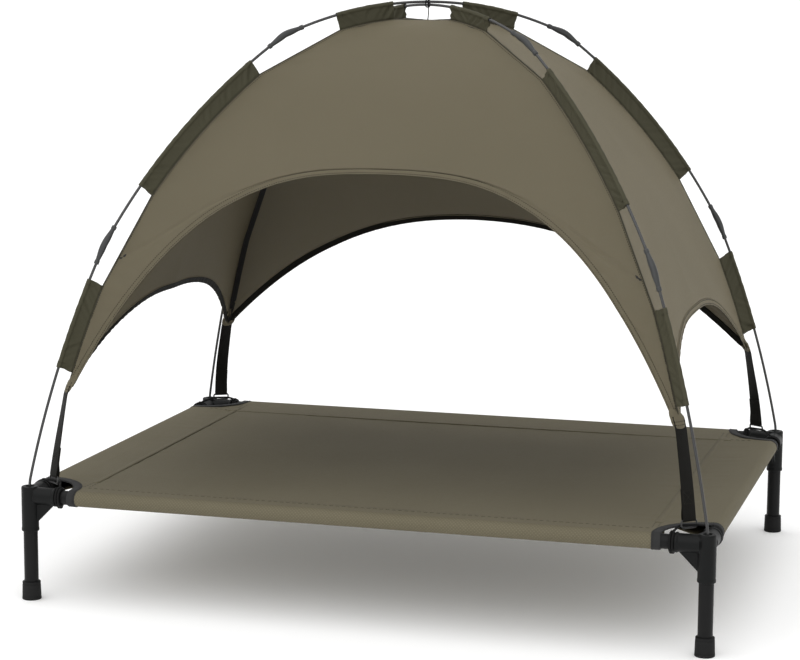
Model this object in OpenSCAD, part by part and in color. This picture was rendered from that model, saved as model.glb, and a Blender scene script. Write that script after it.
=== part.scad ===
// Raised pet bed: a knock-down steel tube frame with a stretched fabric deck,
// and a lift-off canopy held up by two crossed, shock-corded poles.
// Origin: centre of the frame, on the floor. +X right, +Y back, +Z up. Millimetres.

/* [Bed frame] */
// Leg spacing along the bed, centre to centre
frame_l = 1190; // [1100:10:1260]
// Leg spacing across the bed, centre to centre
frame_w = 890; // [820:10:940]
// Height of the rails' axis above the floor
rail_z = 186; // [176:1:206]
// Outside diameter of the steel tubes
tube_d = 25; // [25:0.5:26]
// Wall of the steel tubes
tube_wall = 1.2; // [0.8:0.1:2]

/* [Corner connectors] */
// Outside diameter of the moulded connector
corner_d = 31; // [30:0.5:33]
// Reach of a horizontal socket from the leg's axis
socket_reach = 52; // [48:1:56]
// Length of the leg socket below the rails' axis
leg_socket = 63; // [55:1:70]
// Depth of the pole hole in the top of a connector
pole_hole_depth = 45; // [40:1:45]

/* [Deck] */
// Thickness of the deck fabric
cloth = 1.2; // [1:0.1:1.6]
// Radius of the cut-out round each leg
cutout_r = 77; // [74:1:84]
// Width of the black tape along a cut-out
binding_w = 14; // [10:1:18]

/* [Canopy poles] */
// Diameter of the glass-fibre rods
rod_d = 5; // [4.5:0.5:7]
// Lean of a pole where it leaves its socket, in degrees
lean_foot = 12.5; // [10:0.5:15]
// Lean at the top of the lower rod
lean_lower = 24; // [20:1:28]
// Bend of the lower ferrule
bend_lower = 8; // [5:1:12]
// Lean at the top of the upper rod
lean_upper = 53; // [48:1:58]
// Bend of the upper ferrule
bend_upper = 16; // [12:1:18]
// Curved length of the lower rod
lower_rod_l = 392; // [370:2:400]
// Curved length of the upper rod
upper_rod_l = 420; // [400:2:430]
// Length of a ferrule
ferrule_l = 74; // [66:2:80]
// Diameter of a ferrule at its elbow
ferrule_d = 11.6; // [10.6:0.2:13]

/* [Canopy cloth] */
// Distance from a pole to the seam that it carries
seam_drop = 25; // [20:1:30]
// Thickness of a canopy panel
panel_t = 1.6; // [1.2:0.1:2.5]
// Height of the canopy's corner tips
tip_z = 372; // [360:1:385]
// Height of the seam at the apex
apex_seam_z = 1008; // [1000:1:1010]
// Height of the front arch
front_peak = 754; // [700:1:780]
// Height of the back arch
back_peak = 613; // [560:1:700]
// Height of the side arches
side_peak = 500; // [460:1:600]

/* [Straps] */
// Width of the webbing
strap_w = 25; // [20:1:25]
// Thickness of the webbing
strap_t = 1.5; // [1:0.1:2]
// Diameter of the elastic tie cord
tie_d = 4.5; // [3:0.5:4.5]

/* [Hidden] */
$fn = 48;
CORNERS = ["front_left", "front_right", "rear_left", "rear_right"];

steel_c = "#2b2b2b";
plastic_c = "#262727";
rubber_c = "#1f1f1f";
deck_c = "#655c4b";
canopy_c = "#6b6553";
sleeve_c = "#565241";
black_c = "#1e1d1a";
rod_c = "#3a3b3b";

gap = 0.3;                              // working clearance between neighbours
half_l = frame_l / 2;
half_w = frame_w / 2;
half_diag = norm([half_l, half_w]);     // leg axis from the centre, on the diagonal
ux = half_l / half_diag;
uy = half_w / half_diag;

// Frame
rail_end = 18;                          // rail's end from the leg axis
sheet_in_r = tube_d / 2 + gap;          // inside of a rail pocket
sheet_out_r = sheet_in_r + cloth;
deck_top = rail_z + sheet_out_r;
corner_top = rail_z + corner_d / 2 + 0.5;
leg_mouth = rail_z - leg_socket;
foot_h = 32;
foot_floor = 4;
leg_top = rail_z - corner_d / 2 - 16;

// Poles: points are [distance from centre, height] in a diagonal plane, and an
// arc that starts at p and leans from a to b degrees has its centre at arc_c.
pole_foot_l = 14;                       // tight bend at the socket's mouth
pole_foot_z = corner_top - 2;
pole_tip_z = corner_top - pole_hole_depth + 5;
rod_insert = ferrule_l / 2 - 7;
rod_bore = rod_d - 1.8;
cord_d = rod_bore - 0.8;
pole_lift = rod_d / 2 + gap / 2;        // one pole crosses over the other
lap = 1;
slim = 0.1;
function arc_r(a, b, l) = l / ((b - a) * PI / 180);
function arc_c(p, a, b, l) = p - arc_r(a, b, l) * [cos(a), sin(a)];
function arc_end(p, a, b, l) = arc_c(p, a, b, l) + arc_r(a, b, l) * [cos(b), sin(b)];
function ahead(p, a, l) = p + l * [-sin(a), cos(a)];

p_foot = [half_diag, pole_foot_z];
p_lower = arc_end(p_foot, 0, lean_foot, pole_foot_l);
p_lower_end = arc_end(p_lower, lean_foot, lean_lower, lower_rod_l);
p_elbow1 = ahead(p_lower_end, lean_lower, ferrule_l / 2);
lean2 = lean_lower + bend_lower;
p_upper = ahead(p_elbow1, lean2, ferrule_l / 2);
p_upper_end = arc_end(p_upper, lean2, lean_upper, upper_rod_l);
p_elbow2 = ahead(p_upper_end, lean_upper, ferrule_l / 2);
lean3 = lean_upper + bend_upper;
p_top = ahead(p_elbow2, lean3, ferrule_l / 2);
elbow_t = 6;                            // straight length that an elbow's bend takes from each side
top_r = p_top[0] / cos(lean3);
top_c = [0, p_top[1] - top_r * sin(lean3)];
apex_z = top_c[1] + top_r;

lower_r = arc_r(lean_foot, lean_lower, lower_rod_l);
lower_c = arc_c(p_lower, lean_foot, lean_lower, lower_rod_l);
upper_r = arc_r(lean2, lean_upper, upper_rod_l);
upper_c = arc_c(p_upper, lean2, lean_upper, upper_rod_l);

// Pole sleeves: [arc centre, arc radius, lean at start, lean at end]
function lean_at(a, b, l, x) = a + (b - a) * x / l;
SLEEVES = [
    [lower_c, lower_r, lean_at(lean_foot, lean_lower, lower_rod_l, 200),
     lean_at(lean_foot, lean_lower, lower_rod_l, 363)],
    [upper_c, upper_r, lean_at(lean2, lean_upper, upper_rod_l, 83),
     lean_at(lean2, lean_upper, upper_rod_l, 379)],
    [top_c, top_r, lean3 + 66 / top_r * 180 / PI, lean3 + 175 / top_r * 180 / PI]];
sleeve_in_d = rod_d + 1;
sleeve_out_d = sleeve_in_d + 2.4;
fin_t = 2.4;

// Seam: concentric with each sleeve and straight between the sleeves
arc_steps = [4, 8, 4];
seam_foot = SLEEVES[0][0] + (SLEEVES[0][1] - seam_drop) * [cos(SLEEVES[0][2]), sin(SLEEVES[0][2])];
seam_tip = [seam_foot[0] + (seam_foot[1] - tip_z) * tan(lean_foot + 4), tip_z];
SEAM = concat(
    [seam_tip],
    [for (k = [0:2]) for (i = [0:arc_steps[k]])
        let (a = SLEEVES[k][2] + (SLEEVES[k][3] - SLEEVES[k][2]) * i / arc_steps[k])
        SLEEVES[k][0] + (SLEEVES[k][1] - seam_drop) * [cos(a), sin(a)]],
    [[0, apex_seam_z]]);
seam_n = len(SEAM) - 1;
SEAM_INDEX = [for (i = [0:seam_n]) [SEAM[i][1], i]];

function clip(v) = max(0, min(seam_n, v));
// Point of the seam's profile at index v, between its listed points
function seam_at(v) =
    let (w = clip(v), i = min(seam_n - 1, floor(w)), f = w - i)
    SEAM[i] * (1 - f) + SEAM[i + 1] * f;
// Inward unit normal of the profile once its distance is scaled by k
function seam_normal(v, k) =
    let (d = seam_at(v + 0.5) - seam_at(v - 0.5), t = [d[0] * k, d[1]] / norm([d[0] * k, d[1]]))
    [-t[1], t[0]];

// Arches: [peak height, height of the legs' ends, half width there, curve power]
front_arch = [front_peak, tip_z + 3, half_diag * ux * 0.888, 2.8];
back_arch = [back_peak, tip_z + 3, half_diag * ux * 0.886, 2.2];
side_arch = [side_peak, tip_z + 3, half_diag * uy * 0.872, 2.8];
panel_cols = 40;
panel_rows = 9;
seam_clear = fin_t / 2 + gap;

// Straps, rings and ties
strap_lean = 9.8;
ring_wire = 3.2;
ring_pitch = 12;
ring_bar = [half_diag - 44, corner_top + 14.5];
strap_top = tip_z - 0.5;
tie_at = socket_reach + 3;
tie_pitch = tie_d + 0.2;
tie_r = tube_d / 2 + tie_d / 2 + gap + 0.05;

function sx(i) = i % 2 == 0 ? -1 : 1;
function sy(i) = i < 2 ? -1 : 1;
function corner_name(stem, i) = str(stem, "_", CORNERS[i]);
// The pole through front left and rear right passes over the other one
function lift(i) = (i == 0 || i == 3) ? pole_lift : -pole_lift;

// A corner piece is drawn for the front left: +x and +y point inboard
module at_corner(i) {
    translate([sx(i) * half_l, sy(i) * half_w, 0])
        mirror([sx(i) > 0 ? 1 : 0, 0, 0]) mirror([0, sy(i) > 0 ? 1 : 0, 0]) children();
}
// A pole piece is drawn with x outwards along the diagonal and y upwards
module at_diagonal(i) {
    rotate([90, 0, atan2(sy(i) * half_w, sx(i) * half_l)]) children();
}
module arc_bar(centre, r, a, b, d) {
    translate([centre[0], centre[1], 0]) rotate([0, 0, a])
        rotate_extrude(angle = b - a, $fn = r > 200 ? 720 : 180) translate([r, 0]) circle(d = d, $fn = 32);
}
// A straight stretch is a hair slimmer than the bends and reaches into them by
// the two laps, at its start and at its end
module straight_bar(p, a, l, d, laps) {
    translate([p[0], p[1], 0]) rotate([0, 0, a]) rotate([-90, 0, 0]) translate([0, 0, -laps[0]])
        cylinder(h = l + laps[0] + laps[1], d = d - slim, $fn = 32);
}
module cord_run(path, d) {
    for (k = [0:len(path) - 2]) {
        v = path[k + 1] - path[k];
        translate(path[k]) rotate([0, acos(v[2] / norm(v)), atan2(v[1], v[0])])
            cylinder(h = norm(v), d = d, $fn = 24);
        if (k > 0) translate(path[k]) rotate([0, 0, 45]) sphere(d = d + 0.9, $fn = 24);
    }
}

// --- Frame ---------------------------------------------------------------
module tube(l, d) {
    rotate([0, 90, 0]) difference() {
        cylinder(h = l, d = d, center = true);
        cylinder(h = l + 2, d = d - 2 * tube_wall, center = true);
    }
}
module long_rail(side) {
    color(steel_c) translate([0, side * half_w, rail_z]) tube(frame_l - 2 * rail_end, tube_d);
}
module side_rail(side) {
    color(steel_c) translate([side * half_l, 0, rail_z]) rotate([0, 0, 90])
        tube(frame_w - 2 * rail_end, tube_d);
}
module leg(i) {
    leg_l = leg_top - foot_floor;
    color(steel_c) at_corner(i) translate([0, 0, foot_floor + leg_l / 2]) rotate([0, 90, 0])
        tube(leg_l, tube_d);
}
module foot(i) {
    in_r = tube_d / 2 + 0.1;
    color(rubber_c) at_corner(i) rotate_extrude() polygon([
        [0, 0], [15.5, 0], [17, 1.5], [17, 5], [16, foot_h - 1], [15.2, foot_h],
        [in_r, foot_h], [in_r, foot_floor], [0, foot_floor]]);
}
module corner_socket() {
    reach = socket_reach;
    collar = 4;
    rotate([90, 0, 90]) rotate_extrude() polygon([
        [0, 0], [corner_d / 2, 0], [corner_d / 2, reach - collar - 1],
        [corner_d / 2 + 1.4, reach - collar], [corner_d / 2 + 1.4, reach - 0.8],
        [corner_d / 2 + 0.6, reach], [0, reach]]);
}
module corner_gusset() {
    web_t = 6;
    web_reach = socket_reach - 7;
    top = -corner_d / 2 + 2;
    rotate([90, 0, 0]) translate([0, 0, -web_t / 2]) linear_extrude(web_t)
        polygon([[0, top], [web_reach + 2, top], [web_reach, top - 2.5],
                 [corner_d / 2 - 1, top - 2.5 - (web_reach - corner_d / 2 + 1)], [0, top - 34]]);
}
module corner(i) {
    bore_d = tube_d + 0.3;
    color(plastic_c) at_corner(i) difference() {
        union() {
            translate([0, 0, leg_mouth]) rotate_extrude() polygon([
                [0, 0], [corner_d / 2 - 0.8, 0], [corner_d / 2, 0.8],
                [corner_d / 2, corner_top - leg_mouth - 1.2],
                [corner_d / 2 - 1.2, corner_top - leg_mouth], [0, corner_top - leg_mouth]]);
            translate([0, 0, rail_z]) {
                corner_socket();
                mirror([1, -1, 0]) corner_socket();
                corner_gusset();
                mirror([1, -1, 0]) corner_gusset();
            }
        }
        translate([rail_end - gap, 0, rail_z]) rotate([0, 90, 0])
            cylinder(h = socket_reach, d = bore_d);
        translate([0, rail_end - gap, rail_z]) rotate([-90, 0, 0])
            cylinder(h = socket_reach, d = bore_d);
        translate([0, 0, leg_mouth - 1]) cylinder(h = leg_top - leg_mouth + 1 + gap, d = bore_d);
        translate([0, 0, corner_top - pole_hole_depth])
            cylinder(h = pole_hole_depth + 1, d = rod_d + 0.6);
        translate([0, 0, corner_top - 3]) cylinder(h = 4, d = 15);
    }
}

// --- Deck ----------------------------------------------------------------
module rail_shape(r) {
    for (s = [-1, 1]) {
        translate([0, s * half_w, rail_z]) rotate([0, 90, 0])
            cylinder(h = frame_l, r = r, center = true);
        translate([s * half_l, 0, rail_z]) rotate([90, 0, 0])
            cylinder(h = frame_w, r = r, center = true);
    }
}
module bed_sheet() {
    color(deck_c) difference() {
        union() {
            translate([-half_l, -half_w, deck_top - cloth]) cube([frame_l, frame_w, cloth]);
            rail_shape(sheet_out_r);
        }
        rail_shape(sheet_in_r);
        for (i = [0:3]) at_corner(i) translate([0, 0, rail_z]) cylinder(h = 60, r = cutout_r, center = true);
    }
}
module corner_binding(i) {
    tape = 0.9;
    lip = 1.2;
    in_r = cutout_r - lip;
    out_r = cutout_r + binding_w;
    low = deck_top - cloth - 0.1 - tape;
    color(black_c) at_corner(i) difference() {
        intersection() {
            difference() {
                union() {
                    translate([0, 0, low]) cube([out_r, out_r, deck_top + 0.1 + tape - low]);
                    translate([0, 0, rail_z]) rotate([0, 90, 0])
                        cylinder(h = out_r, r = sheet_out_r + 0.1 + tape);
                    translate([0, 0, rail_z]) rotate([-90, 0, 0])
                        cylinder(h = out_r, r = sheet_out_r + 0.1 + tape);
                }
                translate([0, 0, rail_z]) cylinder(h = 60, r = in_r, center = true);
            }
            translate([0, 0, rail_z]) cylinder(h = 60, r = out_r, center = true);
        }
        translate([0, 0, rail_z]) rotate([0, 90, 0]) cylinder(h = out_r + 1, r = sheet_out_r + 0.1);
        translate([0, 0, rail_z]) rotate([-90, 0, 0]) cylinder(h = out_r + 1, r = sheet_out_r + 0.1);
        translate([0, 0, deck_top - cloth - 0.1]) difference() {
            cylinder(h = cloth + 0.2, r = out_r + 2);
            translate([0, 0, -1]) cylinder(h = cloth + 2.2, r = cutout_r - 0.1);
        }
    }
}

// --- Canopy poles --------------------------------------------------------
module foot_bend(d) {
    r = arc_r(0, lean_foot, pole_foot_l);
    arc_bar(arc_c(p_foot, 0, lean_foot, pole_foot_l), r, 0, lean_foot + lap / r * 180 / PI, d - slim);
}
module lower_rod_core(d, over) {
    straight_bar([half_diag, pole_tip_z], 0, pole_foot_z - pole_tip_z, d - slim, [over, lap]);
    foot_bend(d);
    arc_bar(lower_c, lower_r, lean_foot, lean_lower, d);
    straight_bar(p_lower_end, lean_lower, rod_insert, d, [lap, over]);
}
module lower_rod(i) {
    color(rod_c) translate([0, 0, lift(i)]) at_diagonal(i) difference() {
        lower_rod_core(rod_d, 0);
        lower_rod_core(rod_bore, 1);
    }
}
module upper_rod_core(d, over) {
    straight_bar(ahead(p_upper, lean2, -rod_insert), lean2, rod_insert, d, [over, lap]);
    arc_bar(upper_c, upper_r, lean2, lean_upper, d);
    straight_bar(p_upper_end, lean_upper, rod_insert, d, [lap, over]);
}
module upper_rod(i) {
    color(rod_c) translate([0, 0, lift(i)]) at_diagonal(i) difference() {
        upper_rod_core(rod_d, 0);
        upper_rod_core(rod_bore, 1);
    }
}
module top_rod_core(d, over) {
    arc_bar(top_c, top_r, lean3, 180 - lean3, d);
    for (s = [0, 1]) mirror([s, 0, 0])
        straight_bar(ahead(p_top, lean3, -rod_insert), lean3, rod_insert, d, [over, lap]);
}
module top_rod(i) {
    color(rod_c) translate([0, 0, lift(i)]) at_diagonal(i) difference() {
        top_rod_core(rod_d, 0);
        top_rod_core(rod_bore, 1);
    }
}
// The bend that turns a pole from lean a to lean b at an elbow
module elbow_bend(elbow, a, b, d) {
    r = elbow_t / tan((b - a) / 2);
    start = ahead(elbow, a, -elbow_t);
    arc_bar(start - r * [cos(a), sin(a)], r, a, b, d);
}
module ferrule_half(elbow, a, dir) {
    end_r = rod_d / 2 + 1.3;
    mid_r = ferrule_d / 2 - slim / 2;
    h = ferrule_l / 2;
    translate([elbow[0], elbow[1], 0]) rotate([0, 0, a]) rotate([-90 * dir, 0, 0])
        rotate_extrude() polygon([
            [0, elbow_t - lap], [mid_r, elbow_t - lap], [mid_r, h * 0.45], [end_r, h - 7],
            [end_r + 0.7, h - 6], [end_r + 0.7, h - 1], [end_r, h], [0, h]]);
}
module ferrule(elbow, a, b, i) {
    arm = ferrule_l / 2 - elbow_t;
    color(plastic_c) translate([0, 0, lift(i)]) at_diagonal(i) difference() {
        union() {
            ferrule_half(elbow, a, -1);
            elbow_bend(elbow, a, b, ferrule_d);
            ferrule_half(elbow, b, 1);
        }
        straight_bar(ahead(elbow, a, -ferrule_l / 2), a, rod_insert + 0.5, rod_d + 0.3, [1, 0]);
        straight_bar(ahead(elbow, b, ferrule_l / 2 - rod_insert - 0.5), b, rod_insert + 0.5, rod_d + 0.3, [0, 1]);
        straight_bar(ahead(elbow, a, -ferrule_l / 2), a, arm, rod_bore, [0, lap]);
        elbow_bend(elbow, a, b, rod_bore);
        straight_bar(ahead(elbow, b, elbow_t), b, arm, rod_bore, [lap, 0]);
    }
}
module shock_cord_half() {
    arm = ferrule_l / 2 - elbow_t;
    straight_bar([half_diag, pole_tip_z + 3], 0, pole_foot_z - pole_tip_z - 3, cord_d - slim, [0, lap]);
    foot_bend(cord_d);
    arc_bar(lower_c, lower_r, lean_foot, lean_lower, cord_d);
    straight_bar(p_lower_end, lean_lower, arm, cord_d, [lap, lap]);
    elbow_bend(p_elbow1, lean_lower, lean2, cord_d);
    straight_bar(ahead(p_elbow1, lean2, elbow_t), lean2, arm, cord_d, [lap, lap]);
    arc_bar(upper_c, upper_r, lean2, lean_upper, cord_d);
    straight_bar(p_upper_end, lean_upper, arm, cord_d, [lap, lap]);
    elbow_bend(p_elbow2, lean_upper, lean3, cord_d);
    straight_bar(ahead(p_elbow2, lean3, elbow_t), lean3, arm, cord_d, [lap, lap]);
}
module shock_cord(i) {
    color("#d8d8d8") translate([0, 0, lift(i)]) at_diagonal(i) {
        shock_cord_half();
        mirror([1, 0, 0]) shock_cord_half();
        arc_bar(top_c, top_r, lean3, 180 - lean3, cord_d);
    }
}
module crossing_tie() {
    in_y = 9;
    in_z = rod_d + gap + 0.8;
    wall = 1.3;
    tie_w = 10;
    tail_l = apex_z - in_z - apex_seam_z;
    color(black_c) translate([0, 0, apex_z]) rotate([90, 0, 90]) translate([0, 0, -tie_w / 2]) {
        linear_extrude(tie_w) difference() {
            translate([-in_y - wall, -in_z - wall]) square([2 * (in_y + wall), 2 * (in_z + wall)]);
            translate([-in_y, -in_z]) square([2 * in_y, 2 * in_z]);
        }
        translate([-wall / 2, -in_z - tail_l, 0]) cube([wall, tail_l - wall / 2, tie_w]);
    }
}

// --- Canopy cloth --------------------------------------------------------
module pole_sleeve(i) {
    color(sleeve_c) translate([0, 0, lift(i)]) at_diagonal(i) for (s = SLEEVES)
        translate([s[0][0], s[0][1], 0]) rotate([0, 0, s[2]])
            rotate_extrude(angle = s[3] - s[2], $fn = 720)
            translate([s[1], 0]) difference() {
                union() {
                    circle(d = sleeve_out_d, $fn = 32);
                    translate([-seam_drop + 0.5, -fin_t / 2]) square([seam_drop - rod_d / 2 - 0.8, fin_t]);
                }
                circle(d = sleeve_in_d, $fn = 32);
            }
}
// A point of a panel: column c from -1 to 1 across, row r from 0 at the arch to
// 1 at the seams, on the outer face (depth 0) or the inner one. k and across
// are the scales of the panel's own direction and of its width.
function panel_xz(arch, k, across, c, r, depth) =
    let (
        t = abs(c),
        v_low = lookup(arch[0] - (arch[0] - arch[1]) * pow(t, arch[3]), SEAM_INDEX),
        v_top = (1 - t) * seam_n,
        v = v_low * (1 - r) + v_top * r,
        edge = max(0, across * seam_at(v_top)[0] - seam_clear / k - depth * across / k),
        x = arch[2] * t * (1 - r) + edge * r,
        p = seam_at(v), n = seam_normal(v, k))
    [sign(c) * x, k * p[0] + n[0] * depth, p[1] + n[1] * depth];
function grid_faces(cols, rows, o) = [for (c = [0:cols - 1]) for (r = [0:rows - 1])
    let (a = o + c * (rows + 1) + r, b = a + rows + 1)
    each [[a, b, b + 1], [a, b + 1, a + 1]]];
function flipped(faces) = [for (f = faces) [f[0], f[2], f[1]]];
// A sheet with thickness: two grids and the walls that close their four edges
module sheet_solid(outer, inner, cols, rows) {
    n = rows + 1;
    o = (cols + 1) * n;
    rim = concat([for (c = [0:cols - 1]) c * n], [for (r = [0:rows - 1]) cols * n + r],
                 [for (c = [cols:-1:1]) c * n + rows], [for (r = [rows:-1:1]) r]);
    m = len(rim);
    walls = [for (j = [0:m - 1]) let (a = rim[j], b = rim[(j + 1) % m])
        each [[a, a + o, b + o], [a, b + o, b]]];
    polyhedron(points = concat(outer, inner),
               faces = concat(grid_faces(cols, rows, 0), flipped(grid_faces(cols, rows, o)), walls));
}
module panel(arch, k, across) {
    cs = [for (i = [0:panel_cols]) -1 + 2 * i / panel_cols];
    rs = [for (j = [0:panel_rows]) j / panel_rows];
    outer = [for (c = cs) for (r = rs) panel_xz(arch, k, across, c, r, 0)];
    inner = [for (c = cs) for (r = rs) panel_xz(arch, k, across, c, r, panel_t)];
    color(canopy_c) sheet_solid(outer, inner, panel_cols, panel_rows);
}

// --- Straps and ties -----------------------------------------------------
module strap(i) {
    l = (strap_top - ring_bar[1]) / cos(strap_lean);
    off = ring_wire / 2 + 0.5;
    out = off + strap_t;
    color(black_c) at_diagonal(i) translate([ring_bar[0], ring_bar[1], -strap_w / 2])
        rotate([0, 0, strap_lean]) linear_extrude(strap_w) polygon([
            [off, -2], [out, -2], [out, l], [off, l], [off, 46], [off - strap_t, 46],
            [off - strap_t, 21], [-out, 7], [-out, -2], [-off, -2], [-off, 6], [off, 20]]);
}
module strap_ring() {
    half = strap_w / 2 + 1 + ring_wire / 2;
    for (y = [0, -ring_pitch]) translate([0, y, 0]) {
        cylinder(h = 2 * half, d = ring_wire, center = true);
        for (z = [-half, half]) translate([0, 0, z]) sphere(d = ring_wire);
    }
    for (z = [-half, half]) translate([0, -ring_pitch, z]) rotate([-90, 0, 0])
        cylinder(h = ring_pitch, d = ring_wire);
}
module strap_rings() {
    color(plastic_c) for (i = [0:3]) at_diagonal(i) translate([ring_bar[0], ring_bar[1], 0])
        rotate([0, 0, strap_lean]) strap_ring();
}
// Two turns round a rail that runs along +x, with a cord lock under them
module tie_turns() {
    h = tie_d / 2;
    w = tie_pitch / 2 + h;
    translate([tie_at + tie_pitch / 2, 0, rail_z]) {
        rotate([90, 0, 0]) rotate([0, 90, 0]) rotate_extrude() translate([tie_r, 0]) polygon([
            [-1, -w], [1, -w], [h, -w + 1.2], [h, -1.3], [1.2, 0], [h, 1.3], [h, w - 1.2], [1, w],
            [-1, w], [-h, w - 1.2], [-h, -w + 1.2]]);
        translate([0, 0, -tie_r - 2]) cube([2 * w - 1.4, 9, 5], center = true);
    }
}
module tie_cord(i) {
    along = [ux, uy];
    side = [-uy, ux];
    knot = tie_at + tie_pitch / 2;
    in_ring = ring_bar[1] - ring_pitch + ring_wire / 2 + tie_d / 2 + 0.6;
    s_ring = half_diag - ring_bar[0];
    low = s_ring + 7;
    high = s_ring - 9;
    w1 = low * along - 15 * side;
    w2 = high * along + 15 * side;
    color(black_c) at_corner(i) {
        tie_turns();
        mirror([1, -1, 0]) tie_turns();
        cord_run([[knot, 0, rail_z + tie_r + 2.4], [w1[0], w1[1], in_ring], [w2[0], w2[1], in_ring],
                  [0, knot, rail_z + tie_r + 2.4]], tie_d - 0.3);
        for (p = [[knot, 0], [0, knot]]) translate([p[0], p[1], rail_z + tie_r + 1.5]) sphere(d = tie_d + 2.5);
    }
}

long_rail(-1);  // front_rail
long_rail(1);  // back_rail
side_rail(-1);  // left_rail
side_rail(1);  // right_rail
bed_sheet();
for (i = [0:3]) {
    leg(i);
    foot(i);
    corner(i);
    corner_binding(i);
    lower_rod(i);
    upper_rod(i);
    ferrule(p_elbow1, lean_lower, lean2, i);
    ferrule(p_elbow2, lean_upper, lean3, i);
    pole_sleeve(i);
    strap(i);
    tie_cord(i);
}
top_rod(0);  // top_rod_a
top_rod(1);  // top_rod_b
shock_cord(0);  // shock_cord_a
shock_cord(1);  // shock_cord_b
crossing_tie();
strap_rings();
mirror([0, 1, 0]) panel(front_arch, uy, ux);  // front_panel
panel(back_arch, uy, ux);  // back_panel
rotate([0, 0, 90]) panel(side_arch, ux, uy);  // left_panel
rotate([0, 0, -90]) panel(side_arch, ux, uy);  // right_panel
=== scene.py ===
import logging
import math
from dataclasses import dataclass
from enum import Enum

import bmesh
import bpy
import numpy as np
from mathutils import Matrix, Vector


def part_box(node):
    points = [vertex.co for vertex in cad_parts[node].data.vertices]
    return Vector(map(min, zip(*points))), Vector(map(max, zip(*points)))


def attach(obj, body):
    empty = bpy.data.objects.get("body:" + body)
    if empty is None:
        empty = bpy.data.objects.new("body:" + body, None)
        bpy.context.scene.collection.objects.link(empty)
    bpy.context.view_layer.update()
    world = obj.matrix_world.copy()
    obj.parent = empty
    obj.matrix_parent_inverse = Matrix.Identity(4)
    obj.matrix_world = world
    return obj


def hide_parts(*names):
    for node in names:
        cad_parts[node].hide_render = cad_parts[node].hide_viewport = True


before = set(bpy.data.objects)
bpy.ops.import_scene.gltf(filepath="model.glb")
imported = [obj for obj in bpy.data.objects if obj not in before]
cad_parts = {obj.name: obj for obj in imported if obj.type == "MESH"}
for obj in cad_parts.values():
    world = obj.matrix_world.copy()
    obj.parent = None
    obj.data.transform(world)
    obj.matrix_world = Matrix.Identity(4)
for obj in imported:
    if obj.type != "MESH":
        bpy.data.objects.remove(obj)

log = logging.getLogger("pet_bed")
MM = 0.001
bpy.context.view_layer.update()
ROOT_BODY = "bed_frame"
CANOPY_BODY = "canopy"
UP = np.array([0.0, 0.0, 1.0])
SWAP_XY = np.array([[0, 1, 0], [1, 0, 0], [0, 0, 1.0]])


# --- Shape helpers --------------------------------------------------------------
@dataclass
class Patch:
    """A surface: points in millimetres, faces as rows of point numbers, and cloth coordinates in millimetres."""
    points: np.ndarray
    faces: list
    cloth: np.ndarray
    slot: int = 0

    def moved(self, rows: np.ndarray, offset: np.ndarray) -> "Patch":
        """A copy whose points are multiplied by a 3x3 matrix and then shifted.

        Args:
            rows: the matrix whose rows are the new directions of x, y and z.
            offset: the shift in millimetres.
        Returns:
            The new patch. A matrix that mirrors also turns the faces round.
        """
        faces = [f[:, ::-1] for f in self.faces] if np.linalg.det(rows) < 0 else self.faces
        return Patch(self.points @ rows + offset, faces, self.cloth, self.slot)


def unit(v: np.ndarray) -> np.ndarray:
    """Vectors divided by their lengths, along the last axis."""
    return v / np.maximum(np.linalg.norm(v, axis=-1, keepdims=True), 1e-9)


def run_length(path: np.ndarray) -> np.ndarray:
    """The distance along a path of points, from 0 at its first point."""
    steps = np.linalg.norm(np.diff(path, axis=0), axis=1)
    return np.concatenate([[0.0], np.cumsum(steps)])


def resampled(path: np.ndarray, spacing: float) -> np.ndarray:
    """The same path with evenly spaced points, each found by linear interpolation of its run length.

    Args:
        path: the points of the path.
        spacing: the wanted distance between points in millimetres.
    Returns:
        The new points.
    """
    length = run_length(path)
    n = max(2, int(round(length[-1] / spacing)) + 1)
    at = np.linspace(0, length[-1], n)
    return np.stack([np.interp(at, length, path[:, k]) for k in range(path.shape[1])], 1)


def rounded(path: np.ndarray, spacing: float, passes: int) -> np.ndarray:
    """A path through given points with its corners eased: resampled, then averaged with its neighbours.

    Args:
        path: the given points.
        spacing: the distance between points in millimetres.
        passes: how many times each inner point moves to the mean of its neighbours and itself.
    Returns:
        The eased points, with both ends kept.
    """
    p = resampled(path, spacing)
    for _ in range(passes):
        p[1:-1] = 0.25 * p[:-2] + 0.5 * p[1:-1] + 0.25 * p[2:]
    return p


def step(x: np.ndarray, low: float, high: float) -> np.ndarray:
    """A smooth step: 0 below low, 1 above high, and the cubic 3t*t - 2t*t*t between them."""
    t = np.clip((x - low) / (high - low), 0, 1)
    return t * t * (3 - 2 * t)


def ripple(x: np.ndarray, length: float, seed: int) -> np.ndarray:
    """A wavering line between -1 and 1: three sines whose lengths are near the one given, with seeded phases."""
    rng = np.random.default_rng(seed)
    total = np.zeros_like(x, dtype=float)
    for share in (0.73, 1.0, 1.61):
        total += np.sin(2 * np.pi * x / (length * share) + rng.uniform(0, 2 * np.pi)) / 3
    return total


def grid_faces(rows: int, cols: int) -> np.ndarray:
    """The four-sided faces of a grid of points that is stored row by row."""
    a = (np.arange(rows - 1)[:, None] * cols + np.arange(cols - 1)[None, :]).ravel()
    return np.stack([a, a + 1, a + cols + 1, a + cols], 1)


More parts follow.
